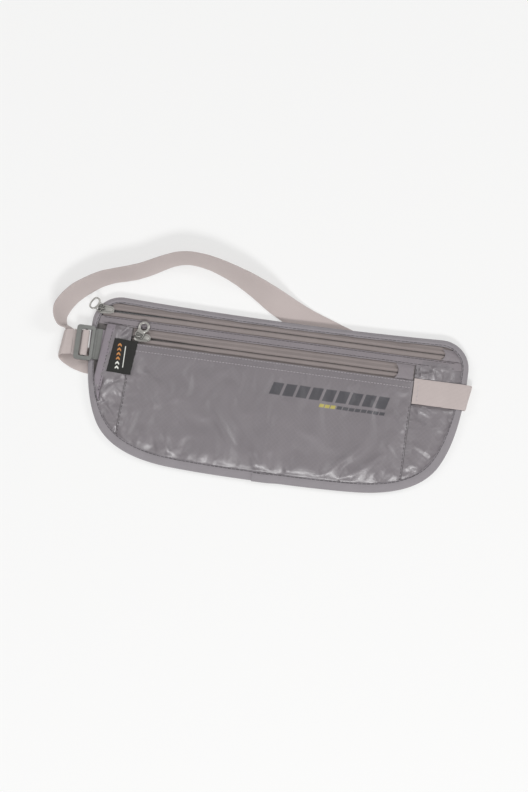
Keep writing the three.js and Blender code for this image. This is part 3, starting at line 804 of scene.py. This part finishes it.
def gathers(x, y):
    """The roll of the cloth beside the binding, and small puckers that run in from it and from the
    two upright seams."""
    distance, travel = edge_distance(x, y)
    inside = np.maximum(distance - binding_width(y, x), 0)
    strength = 0.55 + 0.45 * waves(travel, [61, 97], 11)
    edge = strength * waves(travel, [9.3, 14.9, 27], 12) * np.exp(-inside / 8)
    uneven = 1 + 0.7 * waves(travel, [15.3, 24.7, 41], 17) * np.exp(-inside / 12)
    roll = EDGE_ROLL * (1 - np.exp(-inside / 3.8)) * uneven
    left = waves(y, [6.1, 9.7, 15], 13) * np.exp(-np.abs(x - LEFT_SEAM_X) / 5)
    right = waves(y, [5.7, 9.1, 13], 14) * np.exp(-np.abs(x - RIGHT_SEAM_X) / 5)
    seams = (left + right) * smooth(y, 30, 18)
    slack = 0.26 * waves(x + 0.6 * y, [23, 37], 15) * waves(y - 0.3 * x, [19, 31], 16)
    return (0.8 * edge + 0.6 * seams + slack) * smooth(inside, 0, 2.2) + roll * smooth(y, 36, 20)


def folds(x, y):
    distance, travel = edge_distance(x, y)
    inside = smooth(distance - binding_width(y, x), -0.5, 4)
    return creases(x, y) * inside * (1 - smooth(y, 14, 21) * (x < RIGHT_SEAM_X) * (x > LEFT_SEAM_X))


def left_seam(y):
    return LEFT_SEAM_X - 1.5 * smooth(-np.asarray(y, float), 0, 45)


def seam_dip(x, seam):
    """The sewn seam pulls the cloth down in a narrow groove."""
    return -0.35 * np.exp(-(((x - seam) / 1.1) ** 2))


def pocket_z(x, y):
    """Upper side of the front pocket panel."""
    hem_rise = 0.5 * smooth(y, 8, 22)
    across = np.clip(1 - ((x + 4) / 108) ** 2, 0, 1) ** 0.9
    up = np.clip(1 - ((y + 16) / 40) ** 2, 0, 1) ** 1.3
    hem_pucker = 0.13 * waves(x, [4.1, 6.3, 9], 21) * smooth(y, 17, 22) * (1 - smooth(y, 25.5, 27))
    seams = seam_dip(x, left_seam(y)) + seam_dip(x, RIGHT_SEAM_X)
    return (front_z(y) + hem_rise + POCKET_PUFF * across * up + gathers(x, y) + folds(x, y)
            + hem_pucker + 0.3 * np.exp(-(((y - 26.9) / 0.6) ** 2)) + seams)


def strip_free_edge(y):
    """The bound strip's outer edge, where the binding doesn't cover it."""
    return -133 + 0.092 * (y + 9)


def strip_left(y):
    return np.maximum(strip_free_edge(y), -half_width(y, INSIDE_LEFT_BINDING))


def strip_right(y):
    return np.maximum(strip_free_edge(y) + STRIP_WIDTH, strip_left(y) + 1)


def left_panel_z(x, y):
    """Upper side of the left side panel, which arches up to leave room for the hook."""
    arch = smooth(y, -20, 6) * (1 - 0.4 * smooth(y, 35, 39.5)) * smooth(-x, 109, 121)
    rise = mix(front_z(y), ARCH_Z + FABRIC + lift(y), arch)
    return rise + (gathers(x, y) + folds(x, y)) * (1 - 0.6 * arch) + seam_dip(x, left_seam(y))


def right_panel_z(x, y):
    puff = 0.9 * smooth(x, 101, 108) * smooth(half_width(y, 7) - x, 0, 9) * smooth(y, -46, -26)
    flat_under_strap = 1 - 0.85 * smooth(y, 8.5, 11) * (1 - smooth(y, 29, 31.5))
    return front_z(y) + (puff + gathers(x, y) + folds(x, y)) * flat_under_strap + seam_dip(x, RIGHT_SEAM_X)


# ---------------------------------------------------------------- pouch: layers and front panels


def rows_between(low, high, step):
    return np.linspace(low, high, max(3, round((high - low) / step) + 1))[:, None]


def add_full_layer(name, top, z, material, slot, node, thickness=FABRIC, ripple=0.0):
    """A layer that fills the outline up to height top; z is its underside above the binding's."""
    y = rows_between(BOTTOM_Y + SEAM_INSET, top, 2.5)
    half = np.maximum(half_width(y, SEAM_INSET), 20)
    x = half * np.linspace(-1, 1, 81)[None]
    distance, travel = edge_distance(x, np.broadcast_to(y, x.shape))
    slack = ripple * waves(x + 0.4 * y, [29, 43, 67], 31) * smooth(distance, 7, 16)
    add_cloth(name, x, y, z + thickness + lift(y) + slack, material, thickness, slot=slot, nodes=[node])


add_full_layer("rear_cloth", 57.5, REAR_Z, BACK, "back_fabric", "rear_panel", ripple=0.3)
add_full_layer("shielding_cloth_layer", 53, LINING_Z, SHIELD, "shielding", "shielding_lining", 0.25)
add_full_layer("divider_cloth", 42, DIVIDER_Z, BACK, "back_fabric", "pocket_divider")


SETTLE_FRAMES = 22
SETTLE_SCALE = 0.01  # the simulation runs on a model ten times life size, in metres


def settled(x, y, z, held, spare, most):
    """The grid x, y, z after a cloth simulation. Held points stay where they are sewn. The rest has
    spare length, as a share of its own, and wrinkles up to most millimetres away to lose it."""
    scene = bpy.context.scene
    before = np.stack([x, y, z], -1)
    mesh = bpy.data.meshes.new("settling")
    mesh.from_pydata((before.reshape(-1, 3) * SETTLE_SCALE).tolist(), [], grid_faces(*x.shape).tolist())
    cloth = new_object("settling", mesh)
    sewn = cloth.vertex_groups.new(name="sewn")
    sewn.add(np.flatnonzero(held).tolist(), 1.0, "REPLACE")
    modifier = cloth.modifiers.new("settle", "CLOTH")
    modifier.point_cache.frame_end = SETTLE_FRAMES
    settings = modifier.settings
    settings.vertex_group_mass = "sewn"
    settings.effector_weights.gravity = 0
    settings.shrink_min = -spare
    settings.quality = 7
    settings.mass = 0.15
    settings.air_damping = 4
    settings.tension_stiffness = settings.compression_stiffness = 25
    settings.shear_stiffness = 12
    settings.bending_stiffness = 0.4
    for frame_number in range(1, SETTLE_FRAMES + 1):
        scene.frame_set(frame_number)
    evaluated = cloth.evaluated_get(bpy.context.evaluated_depsgraph_get())
    after = np.array([v.co for v in evaluated.data.vertices]).reshape(before.shape) / SETTLE_SCALE
    scene.frame_set(1)
    bpy.data.objects.remove(cloth)
    shift = after - before
    length = np.linalg.norm(shift, axis=-1, keepdims=True)
    shift = shift * np.tanh(length / most) * most / np.maximum(length, 1e-6)
    shift[..., 2] = np.maximum(shift[..., 2], -0.5 * most)
    return tuple(np.moveaxis(before + shift, -1, 0))


def caught(x, y, *seams):
    """Points held by the binding or by an upright seam at one of the given places."""
    distance, travel = edge_distance(x, y)
    held = distance < binding_width(y, x) + 0.6
    for seam in seams:
        held |= np.abs(x - seam) < 0.7
    return held


def front_pocket_grid():
    """Columns run up from the curved edge to the hem, so that the puckers follow them."""
    share = np.linspace(0, 1, 61)[:, None]
    x = np.linspace(0, 1, 161)[None] * np.ones_like(share)
    bottom = curved_edge(mix(LEFT_SEAM_X - 1.3, RIGHT_SEAM_X, x), SEAM_INSET)
    y = mix(bottom, HEM_Y, share)
    return mix(left_seam(y), RIGHT_SEAM_X, x), y


pocket_x, pocket_y = front_pocket_grid()
sewn_pocket = caught(pocket_x, pocket_y, left_seam(pocket_y), RIGHT_SEAM_X) | (pocket_y > 21.3)
pocket = settled(pocket_x, pocket_y, pocket_z(pocket_x, pocket_y), sewn_pocket, spare=0.008, most=1.0)
add_cloth("front_pocket_cloth", *pocket, PRINTED, slot="face_fabric", nodes=["front_pocket_panel"])


def add_side_panel(side, y, left, right, columns, z_at, seams, sewn):
    """A side panel between two edges. It is held at its seams and where sewn(y) says so."""
    x = mix(left, right, np.linspace(0, 1, columns)[None])
    y = np.broadcast_to(y, x.shape)
    held = caught(x, y, *seams) | sewn(y)
    panel = settled(x, y, z_at(x, y), held, spare=0.015, most=1)
    add_cloth(f"{side}_side_cloth", *panel, FACE, slot="face_fabric", nodes=[f"{side}_side_panel"])


side_y = rows_between(-48, BAND_BOTTOM - 0.3, 1.1)
side_left = np.where(side_y > -19, strip_left(side_y) + 0.6, -half_width(side_y, SEAM_INSET))
side_right = left_seam(side_y) - 0.3
add_side_panel("left", side_y, side_left, side_right, 26, left_panel_z, [side_left, side_right],
               lambda y: y > 38.5)

side_y = rows_between(-48, 43, 1.1)
side_left = RIGHT_SEAM_X + 0.3
add_side_panel("right", side_y, side_left, half_width(side_y, SEAM_INSET), 34, right_panel_z, [side_left],
               lambda y: (y > 39.5) | (np.abs(y - 20) < 10))

band_y = rows_between(BAND_BOTTOM, BAND_TOP, 0.5)
band_half = half_width(band_y, INSIDE_BINDING)
band_x = band_half * np.linspace(-1, 1, 241)[None]
band_edge = np.minimum(band_y - BAND_BOTTOM, BAND_TOP - band_y)
band_z = (OVERLAY_Z + 0.28 + 0.16 * smooth(band_edge, 0, 0.7) + lift(band_y)
          + 0.12 * waves(band_x, [7, 13, 31], 41) * smooth(band_edge, 0, 2))
add_cloth("middle_band_cloth", band_x, band_y, band_z, BAND, slot="face_fabric", nodes=["middle_band"])

# ---------------------------------------------------------------- pouch: edges


def binding_section(width, height):
    """Half a turn of folded tape as (inwards, z): outer side first, then back along the inner side."""
    bend = np.radians(np.linspace(0, 90, 7))
    radius = 1.7
    low = [(radius - radius * math.sin(a), radius - radius * math.cos(a)) for a in bend]
    high = [(radius - radius * math.cos(a), height - radius + radius * math.sin(a)) for a in bend]
    crown = [(width * share, height + rise) for share, rise in [(0.42, 0.34), (0.6, 0.42), (0.8, 0.3)]]
    under = [(width * share, 0) for share in (1, 0.8, 0.6, 0.42)]
    outer = [*under, *low, *high, *crown, (width, height)]
    inner = []
    for depth, z in reversed(outer):
        ceiling = height - TAPE + 0.6 * max(z - height, 0)
        inner.append((max(depth, TAPE) if depth < width else width, min(max(z, TAPE), ceiling)))
    return np.array(outer + inner)


def add_edge_binding():
    spread = np.linspace(0, LOOP_TRAVEL[-1], 700)
    x = np.interp(spread, LOOP_TRAVEL, LOOP[:, 0])
    y = np.interp(spread, LOOP_TRAVEL, LOOP[:, 1])
    line = np.c_[x, y]
    line = np.roll(line, -int(np.argmin(np.abs(x - LAP_X) + 100 * (y > 0))), axis=0)
    line = np.vstack([line, line[0] + [0.4, 0], line[0] + [LAP / 2, 0], line[0] + [LAP, 0]])
    travelled = distance_along(line)
    tangent = normalised(np.gradient(line, axis=0))
    inwards = np.c_[-tangent[:, 1], tangent[:, 0]]
    growth = LAP_GROWTH * (1 - smooth(travelled, LAP, LAP + 12))
    rings, over = [], []
    pucker = 0.14 * waves(travelled, [5.2, 7.9, 13], 51)
    sway = 0.28 * waves(travelled, [17, 29, 53], 52)
    for i, (px, py) in enumerate(line):
        height = float(binding_height(py))
        section = binding_section(float(binding_width(py, px)) + sway[i], height)
        middle = np.array([3.0, height / 2])
        section = middle + (section - middle) * [1, (height + 2 * growth[i]) / height]
        section[:, 0] -= growth[i]
        flat = smooth(section[:, 0], 0.8, 3)
        z = section[:, 1] + lift(py) + pucker[i] * flat * np.sign(section[:, 1] - height / 2) * 0.6
        ring = np.c_[px + inwards[i, 0] * section[:, 0], py + inwards[i, 1] * section[:, 0], z]
        rings.append(ring)
        over.append(section[:, 0] + section[:, 1])
    corners = len(rings[0])
    piece = add_mesh("binding_tape_folded", np.concatenate(rings), loft_faces(len(rings), corners), BINDING,
                     strip=(np.repeat(travelled, corners), np.concatenate(over)), sharp=55,
                     slot="binding_tape", nodes=["edge_binding"])
    even_normals(piece)
    return line, inwards, travelled, growth


binding_line, binding_inwards, binding_travel, binding_growth = add_edge_binding()


def add_bound_strip():
    """A tape folded over the left side panel's free edge, narrowing to a point in the binding."""
    y = np.linspace(-18, BAND_BOTTOM - 0.3, 70)
    left = strip_left(y)
    right = strip_right(y)
    z = left_panel_z(left + 3, y) - FABRIC - 0.1
    fold = [(1, -0.3), (0.5, -0.42), (0.1, -0.4), (0, 0.05), (0.02, 0.5), (0.1, 0.85), (0.3, 0.98),
            (0.7, 0.9), (0.97, 0.82), (1, 0.66), (0.97, 0.5), (0.2, 0.45), (0.1, -0.05), (0.98, -0.15)]
    ripple = 0.12 * waves(y, [6, 11], 61)
    rings = [[(mix(left[i], right[i], u), y[i], z[i] + v + ripple[i] * u) for u, v in fold]
             for i in range(len(y))]
    piece = add_mesh("bound_strip_tape", np.array(rings), loft_faces(len(y), len(fold)), STRIP, sharp=50,
                     slot="binding_tape", nodes=["bound_edge_strip"])
    even_normals(piece)


add_bound_strip()


def add_end_cover(name, node, y0, y1, left, right_at):
    """A fabric cover over a zipper's closed end, with a curved, folded free edge."""
    y = rows_between(y0, y1, 0.6)
    bow = 2.4 * (1 - ((y - (y0 + y1) / 2) / (y1 - y0) * 2) ** 2)
    x = mix(left + bow, right_at(y), np.linspace(0, 1, 20)[None])
    inwards = x - left - bow
    hump = 0.9 * np.exp(-((inwards / 2.2) ** 2)) + 0.2 * smooth(inwards, 1, 6)
    cup = 0.5 * smooth(np.minimum(y - y0, y1 - y), 0, 3) * smooth(inwards, 0, 3)
    ripple = 0.12 * waves(x + y, [5, 9], 71) * smooth(inwards, 2, 5)
    distance, travel = edge_distance(x, y)
    clear = distance - binding_width(y)
    z = mix(front_z(y), OVERLAY_Z + FABRIC + lift(y) + hump + cup + ripple, smooth(clear, -0.2, 2.5))
    add_cloth(name, x, y, z, BAND, slot="face_fabric", nodes=[node])


add_end_cover("upper_zip_cover", "upper_zip_end_cover", BAND_TOP + 0.3, 53.9, 119,
              lambda y: half_width(y, INSIDE_BINDING) + 1.5)
add_end_cover("lower_zip_cover", "lower_zip_end_cover", HEM_Y + 0.3, BAND_BOTTOM - 0.3, 86.4,
              lambda y: RIGHT_SEAM_X - 0.6)


LABEL_BOTTOM = 3.3
LABEL_TOP = 28.8


def add_label():
    """A folded woven label: its left end is sewn in, and its right side curls away from the cloth."""
    y = rows_between(LABEL_BOTTOM, LABEL_TOP, 0.7)
    share = np.linspace(0, 1, 30)[None]
    frayed = 0.25 * waves(y, [3.1, 5.3, 9], 66)
    up = y - LABEL_BOTTOM
    x = mix(-124 + 0.11 * up, -106.3 + 0.09 * up + frayed, share)
    ground = np.maximum(left_panel_z(x, y), pocket_z(x, y))
    bed = mix(ground, np.broadcast_to(ground.max(0, keepdims=True), ground.shape), 0.7)
    curl = 0.9 * smooth(share, 0.55, 1) * smooth(y, 26, 8) - 0.5 * smooth(share, 0.86, 1)
    crease = -0.5 * np.exp(-(((share - 0.62) / 0.07) ** 2))
    add_cloth("folded_label", x, y, bed + 0.75 + curl + crease, LABEL, 0.55, slot="label_weave",
              nodes=["woven_label"])


add_label()

# ---------------------------------------------------------------- zippers


def add_zip_tape(name, node, y0, y1, left, right, centre, seed, wander_seed):
    """A ribbed tape whose inner edge rolls down over the coil, at the zipper's centre line. The two
    tapes gape beside the slider and nearly meet further along."""
    y = rows_between(y0, y1, 0.28)
    x = np.linspace(left, right, 200)[None]
    inner = np.abs(y - centre) - ZIP_GAP / 2
    roll = -0.75 * (1 - smooth(inner, -0.2, 0.9))
    ridge = 0.55 * np.exp(-(((inner - 1.6) / 1.3) ** 2)) - 0.16 * np.exp(-(((inner - 4.0) / 0.3) ** 2))
    fall = -0.17 * np.maximum(inner - 1.6, 0)
    sway = 0.22 * waves(x, [37, 61, 90], seed) * smooth(inner, 0, 3)
    z = ZIP_TAPE_Z + FABRIC + lift(y) + roll + ridge + fall + sway
    closing = 0.5 * smooth(x, left + 12, left + 75) - 0.35
    meeting = closing * (1 - smooth(inner, 0, 1.5)) * np.sign(centre - y)
    wander = 0.1 * waves(x, [70, 110], wander_seed) * (1 - smooth(inner, 2, 5))
    add_cloth(name, x, y + wander + meeting, z, ZIP_CLOTH, slot="zip_tape", strip=(x, y - centre),
              nodes=[node])


def add_zip_coil(name, node, y0, left, right, turn):
    """A nylon coil: one wire wound round the tape's edge."""
    pitch = 1.3
    angle = np.arange(0, (right - left - 1) / pitch * 2 * math.pi, 2 * math.pi / 11)
    line = np.c_[left + 0.5 + angle / (2 * math.pi) * pitch, y0 + 1 + turn * 0.78 * np.cos(angle),
                 COIL_Z + 0.36 + lift(y0) + 0.19 * np.sin(angle)]
    points, faces = tube(line, 0.2, sides=5)
    add_mesh(name, points, faces, COIL, slot="zip_coil", nodes=[node])


# Each zipper: its side, its centre line, and each tape's outer edge, left end and right end.
ZIPPERS = [
    ("upper", UPPER_ZIP_Y, (56, -127, 126), (44.2, -133, 130)),
    ("lower", LOWER_ZIP_Y, (41.5, -108.6, 100.4), (24, -108.6, 100.4)),
]
for zipper, (side, centre, (top, top_left, top_right), (low, low_left, low_right)) in enumerate(ZIPPERS):
    above = centre + ZIP_GAP / 2
    below = centre - ZIP_GAP / 2
    add_zip_tape(f"{side}_tape_above", f"{side}_zip_tape_top", above, top, top_left, top_right,
                 centre, 81 + 4 * zipper, 83 + zipper)
    add_zip_tape(f"{side}_tape_below", f"{side}_zip_tape_bottom", low, below, low_left, low_right,
                 centre, 82 + 4 * zipper, 83 + zipper)
    add_zip_coil(f"{side}_coil_above", f"{side}_zip_coil_top", above, top_left, top_right, 1)
    add_zip_coil(f"{side}_coil_below", f"{side}_zip_coil_bottom", below - 2, low_left, low_right, -1)

SLIDER_LENGTH = 12
SLIDER_WIDTH = 7.2
TOP_PLATE_Z = 4.75
BOTTOM_PLATE_Z = 2.05
PLATE = 0.75
BRIDGE_X = -3.2
BRIDGE_REACH = 2.1
BRIDGE_OPENING = 1.3
PIVOT_Z = TOP_PLATE_Z + PLATE + BRIDGE_OPENING / 2


def slider_parts():
    """A cast slider about its own middle: a shouldered crown, a lower plate, and an arched bridge."""
    half = SLIDER_LENGTH / 2
    crown = [(x, y * mix(1.04, 0.7, (x + half) / SLIDER_LENGTH))
             for x, y in rounded(-half, half, -SLIDER_WIDTH / 2, SLIDER_WIDTH / 2, 2.7)]
    spine = rounded(-half + 1.2, half - 1.2, -1.5, 1.5, 1.3)
    deck = TOP_PLATE_Z + PLATE
    sweep = np.radians(np.linspace(180, 0, 17))
    arch = [(BRIDGE_X + BRIDGE_REACH * np.sign(math.cos(a)) * abs(math.cos(a)) ** 0.6, 0,
             deck - 0.25 + (BRIDGE_OPENING + 0.5) * math.sin(a) ** 0.6) for a in sweep]
    return merged(
        plate(crown, [], TOP_PLATE_Z, deck),
        plate(spine, [], deck - 0.1, deck + 0.22),
        plate(rounded(-2.6, 5, -2.6, 2.6, 1.2), [], BOTTOM_PLATE_Z, BOTTOM_PLATE_Z + 0.45),
        plate(rounded(-0.1, 4.6, -0.13, 0.13, 0.1), [], BOTTOM_PLATE_Z + 0.1, TOP_PLATE_Z + 0.1),
        tube(arch, 0.3, sides=8),
    )


def oval(middle, rx, ry, count, roundness):
    """A ring about (middle, 0): an ellipse where roundness is 1, and squarer below that."""
    angle = np.linspace(0, 2 * math.pi, count, endpoint=False)
    x, y = [np.sign(wave) * np.abs(wave) ** roundness for wave in (np.cos(angle), np.sin(angle))]
    return np.c_[middle + rx * x, ry * y, np.zeros(count)]


def puller_parts(ring, hole, ring_x, roundness):
    """A cast puller about its pivot, pointing along +X: a square eye, a neck and a ring."""
    eye_line = np.array([(x, y, 0) for x, y in rounded(0, 3.27, -2.95, 2.95, 0.9)])
    middle = [(r + h) / 2 for r, h in zip(ring, hole)]
    wire = (ring[0] - hole[0]) / 2
    bend = np.radians(np.linspace(-125, 125, 41))
    shoulders = [(ring_x + (ring[0] - 0.4) * math.cos(a), (ring[1] - 0.4) * math.sin(a)) for a in bend]
    body = [(3.0, -2.9), *shoulders, (3.0, 2.9)]
    window = oval(ring_x, hole[0] + 0.1, hole[1] + 0.1, 36, 1)[:, :2]
    return merged(
        tube(eye_line, (0.36, 0.4), sides=10, closed=True),
        plate(body, [window], -0.3, 0.3),
        tube(oval(ring_x, middle[0], middle[1], 48, roundness), (wire, 0.46), sides=12, closed=True),
    )


# Each slider: its side, its place, its puller's turn, the puller's ring and hole (half sizes along
# and across), how far the ring's middle is from the pivot, and how round the ring is.
SLIDERS = [
    ("upper", -131, UPPER_ZIP_Y, 150, (3.2, 4.9), (2, 3.7), 6.6, 0.72),
    ("lower", -101.5, LOWER_ZIP_Y, 66, (4.4, 4.3), (2.6, 2.5), 8.4, 1),
]
for side, x, y, turn, ring, hole, ring_x, roundness in SLIDERS:
    base = np.array([x, y, float(lift(y))])
    points, faces = slider_parts()
    even_normals(add_mesh(f"{side}_slider_casting", points + base, faces, ZINC, body=f"{side}_slider",
                          bevel=0.16, slot="zinc", nodes=[f"{side}_slider"]))
    points, faces = puller_parts(ring, hole, ring_x, roundness)
    points = turned(points, turn) + base + [BRIDGE_X, 0, PIVOT_Z]
    even_normals(add_mesh(f"{side}_puller_casting", points, faces, ZINC, body=f"{side}_puller",
                          slot="zinc", nodes=[f"{side}_puller"]))

# ---------------------------------------------------------------- buckle


def add_buckle():
    """A flat moulded frame with a middle bar for the strap, and a plate that hooks the keeper."""
    base = float(lift(BUCKLE_BOTTOM)) + BUCKLE_Z
    parts = merged(
        plate(rounded(BUCKLE_LEFT, BUCKLE_RIGHT, BUCKLE_BOTTOM, BUCKLE_TOP, 2.2),
              [rounded(-146.5, -138.5, 12.8, 33.2, 1.0)], base, base + 2.3),
        plate(rounded(-143.9, -142.1, 12.3, 33.7, 0.4), [], base, base + 1.15),
        plate(rounded(-137.2, -126, 11.5, 34.5, 0.9), [], base, base + 1.2),
        plate(rounded(-126.9, -126, 11.5, 34.5, 0.3), [], base + 0.9, base + 2),
        plate(rounded(-136.2, -134.6, 12.4, 33.6, 0.5), [], base + 1.1, base + 1.6),
    )
    even_normals(add_mesh("hook_buckle_moulding", *parts, PLASTIC, body="buckle", bevel=0.45,
                          slot="buckle_plastic", nodes=["hook_buckle"]))


add_buckle()

keeper_y = rows_between(12, 34, 1)
keeper_x = mix(-130.8, -127.2, np.linspace(0, 1, 9)[None])
keeper_z = lift(BUCKLE_BOTTOM) + 6.45 - 0.15 * smooth(np.abs(keeper_x + 129), 1, 1.8)
add_cloth("keeper_loop", keeper_x, keeper_y, keeper_z, STRIP, 0.4, slot="binding_tape",
          nodes=["hook_keeper"])

# ---------------------------------------------------------------- stitching


def stitches(line, length=1.7, gap=0.9, thick=0.17):
    """Beads of thread along a line of places, each sunk at both ends."""
    line = np.asarray(line, float)
    travelled = distance_along(line)
    starts = np.arange(gap, travelled[-1] - length, length + gap)
    rise = np.array([-0.12, 0.05, 0.1, 0.05, -0.12])
    beads = []
    for start in starts:
        where = start + np.linspace(0, length, 5)
        places = np.stack([np.interp(where, travelled, column) for column in line.T], 1)
        beads.append(tube(places + np.c_[np.zeros((5, 2)), rise], thick, sides=5))
    return merged(*beads)


def add_stitching(name, lines, material, slot="binding_tape", body="pouch", **sizes):
    points, faces = merged(*[stitches(line, **sizes) for line in lines])
    add_mesh(name, points, faces, material, body=body, slot=slot)


def line_on(x, y, z_at, above=0.05):
    x, y = np.broadcast_arrays(np.asarray(x, float), np.asarray(y, float))
    return np.c_[x, y, z_at(x, y) + above]


def binding_seam_and_lip_shade_row(side):
    """The seam through the folded tape, near its inner edges, above (1) or below (-1). Its dark, nearly
    unbroken stitches sit close to the lip, so they also stand for the shadow along the lip: real stitching
    and painted shade.
    """
    inset = (binding_width(binding_line[:, 1], binding_line[:, 0]) - 0.7 - binding_growth)[:, None]
    flat = binding_line + binding_inwards * inset
    middle = binding_height(binding_line[:, 1]) / 2
    z = lift(binding_line[:, 1]) + middle + side * (middle + binding_growth + 0.06) + 0.2 * (side > 0)
    return np.c_[flat, np.maximum(z, 0.3)]


upright = np.linspace(2, -47, 60)
right_low = np.linspace(9, -48, 60)
right_high = np.linspace(31.5, 38, 12)
across_hem = np.linspace(LEFT_SEAM_X + 1.5, RIGHT_SEAM_X - 1, 260)
across_band = np.linspace(-132, 132, 300)


def band_height(x, y):
    return OVERLAY_Z + 0.42 + lift(y)


def strip_height(x, y):
    return left_panel_z(strip_left(y) + 3, y) + 0.42


def strap_end_height(x, y):
    return np.full(np.shape(x), RIGHT_RUN[0][2] + STRAP_THICK / 2)


# Long stitches with short gaps make the binding rows read as dark lines: real stitching that also stands
# for the lip's shadow as painted shade.
add_stitching("binding_stitching_and_lip_shade", [binding_seam_and_lip_shade_row(1), binding_seam_and_lip_shade_row(-1)], DARK_THREAD, length=2.6, gap=0.5)
add_stitching("seam_stitching", [
    line_on(left_seam(upright) + 0.9, upright, pocket_z), line_on(RIGHT_SEAM_X - 0.9, right_low, pocket_z),
    line_on(RIGHT_SEAM_X + 1.2, right_high, right_panel_z),
], DARK_THREAD)
add_stitching("hem_stitching", [line_on(across_hem, row, pocket_z) for row in (HEM_Y - 1, 21.8)],
              LIGHT_THREAD, slot="face_fabric", length=1.2, gap=1.1, thick=0.2)
add_stitching("band_stitching", [line_on(across_band, BAND_TOP - 0.9, band_height),
                                 line_on(across_band, BAND_BOTTOM + 0.9, band_height)], DARK_THREAD,
              length=2.6, gap=0.4)
strap_row = np.linspace(11.6, 28.4, 30)
add_stitching("strap_end_stitching", [line_on(104.8, strap_row, strap_end_height)], LIGHT_THREAD,
              slot="elastic")
strip_row = np.linspace(-12, 38, 60)
add_stitching("strip_stitching", [line_on(strip_right(strip_row) - 1.2, strip_row, strip_height)],
              DARK_THREAD)

# ---------------------------------------------------------------- floor and light


def add_floor():
    material, tree, shader = new_material("pale_floor", 0.9)
    shader.inputs["Base Color"].default_value = (0.42, 0.42, 0.418, 1)
    shader.inputs["Emission Color"].default_value = (1, 1, 0.994, 1)
    shader.inputs["Emission Strength"].default_value = 0.5
    mesh = bpy.data.meshes.new("floor")
    mesh.from_pydata([(-8, -8, 0), (8, -8, 0), (8, 8, 0), (-8, 8, 0)], [], [(0, 1, 2, 3)])
    mesh.materials.append(material)
    new_object("floor", mesh)


def add_softbox(name, place, size, power):
    """A rectangular light that faces the origin. place and size are in metres, power in watts."""
    data = bpy.data.lights.new(name, "AREA")
    data.shape = "RECTANGLE"
    data.size, data.size_y = size
    data.energy = power
    lamp = new_object(name, data)
    lamp.location = place
    lamp.rotation_euler = Vector(place).to_track_quat("Z", "Y").to_euler()


def light_scene():
    world = bpy.data.worlds.new("studio")
    world.use_nodes = True
    tree = world.node_tree
    direction = value_of(tree, "ShaderNodeTexCoord", output="Generated")
    upwards = value_of(tree, "ShaderNodeSeparateXYZ", {0: direction}, "Z")
    overhead = {"Value": upwards, "From Min": 0.0, "From Max": 1.0, "To Min": 0.22, "To Max": 0.5}
    background = tree.nodes["Background"]
    background.inputs["Color"].default_value = (1, 1, 1, 1)
    connect(background.inputs["Strength"], value_of(tree, "ShaderNodeMapRange", overhead))
    bpy.context.scene.world = world
    bpy.context.scene.view_settings.view_transform = "Standard"
    add_softbox("front", (0.3, -1.55, 1.6), (0.7, 0.4), 25)
    add_softbox("left_high", (-1.4, 0.5, 1.6), (0.8, 0.8), 8)
    add_softbox("right_back", (1.5, 0.9, 1.5), (0.8, 0.8), 12)


add_floor()
light_scene()
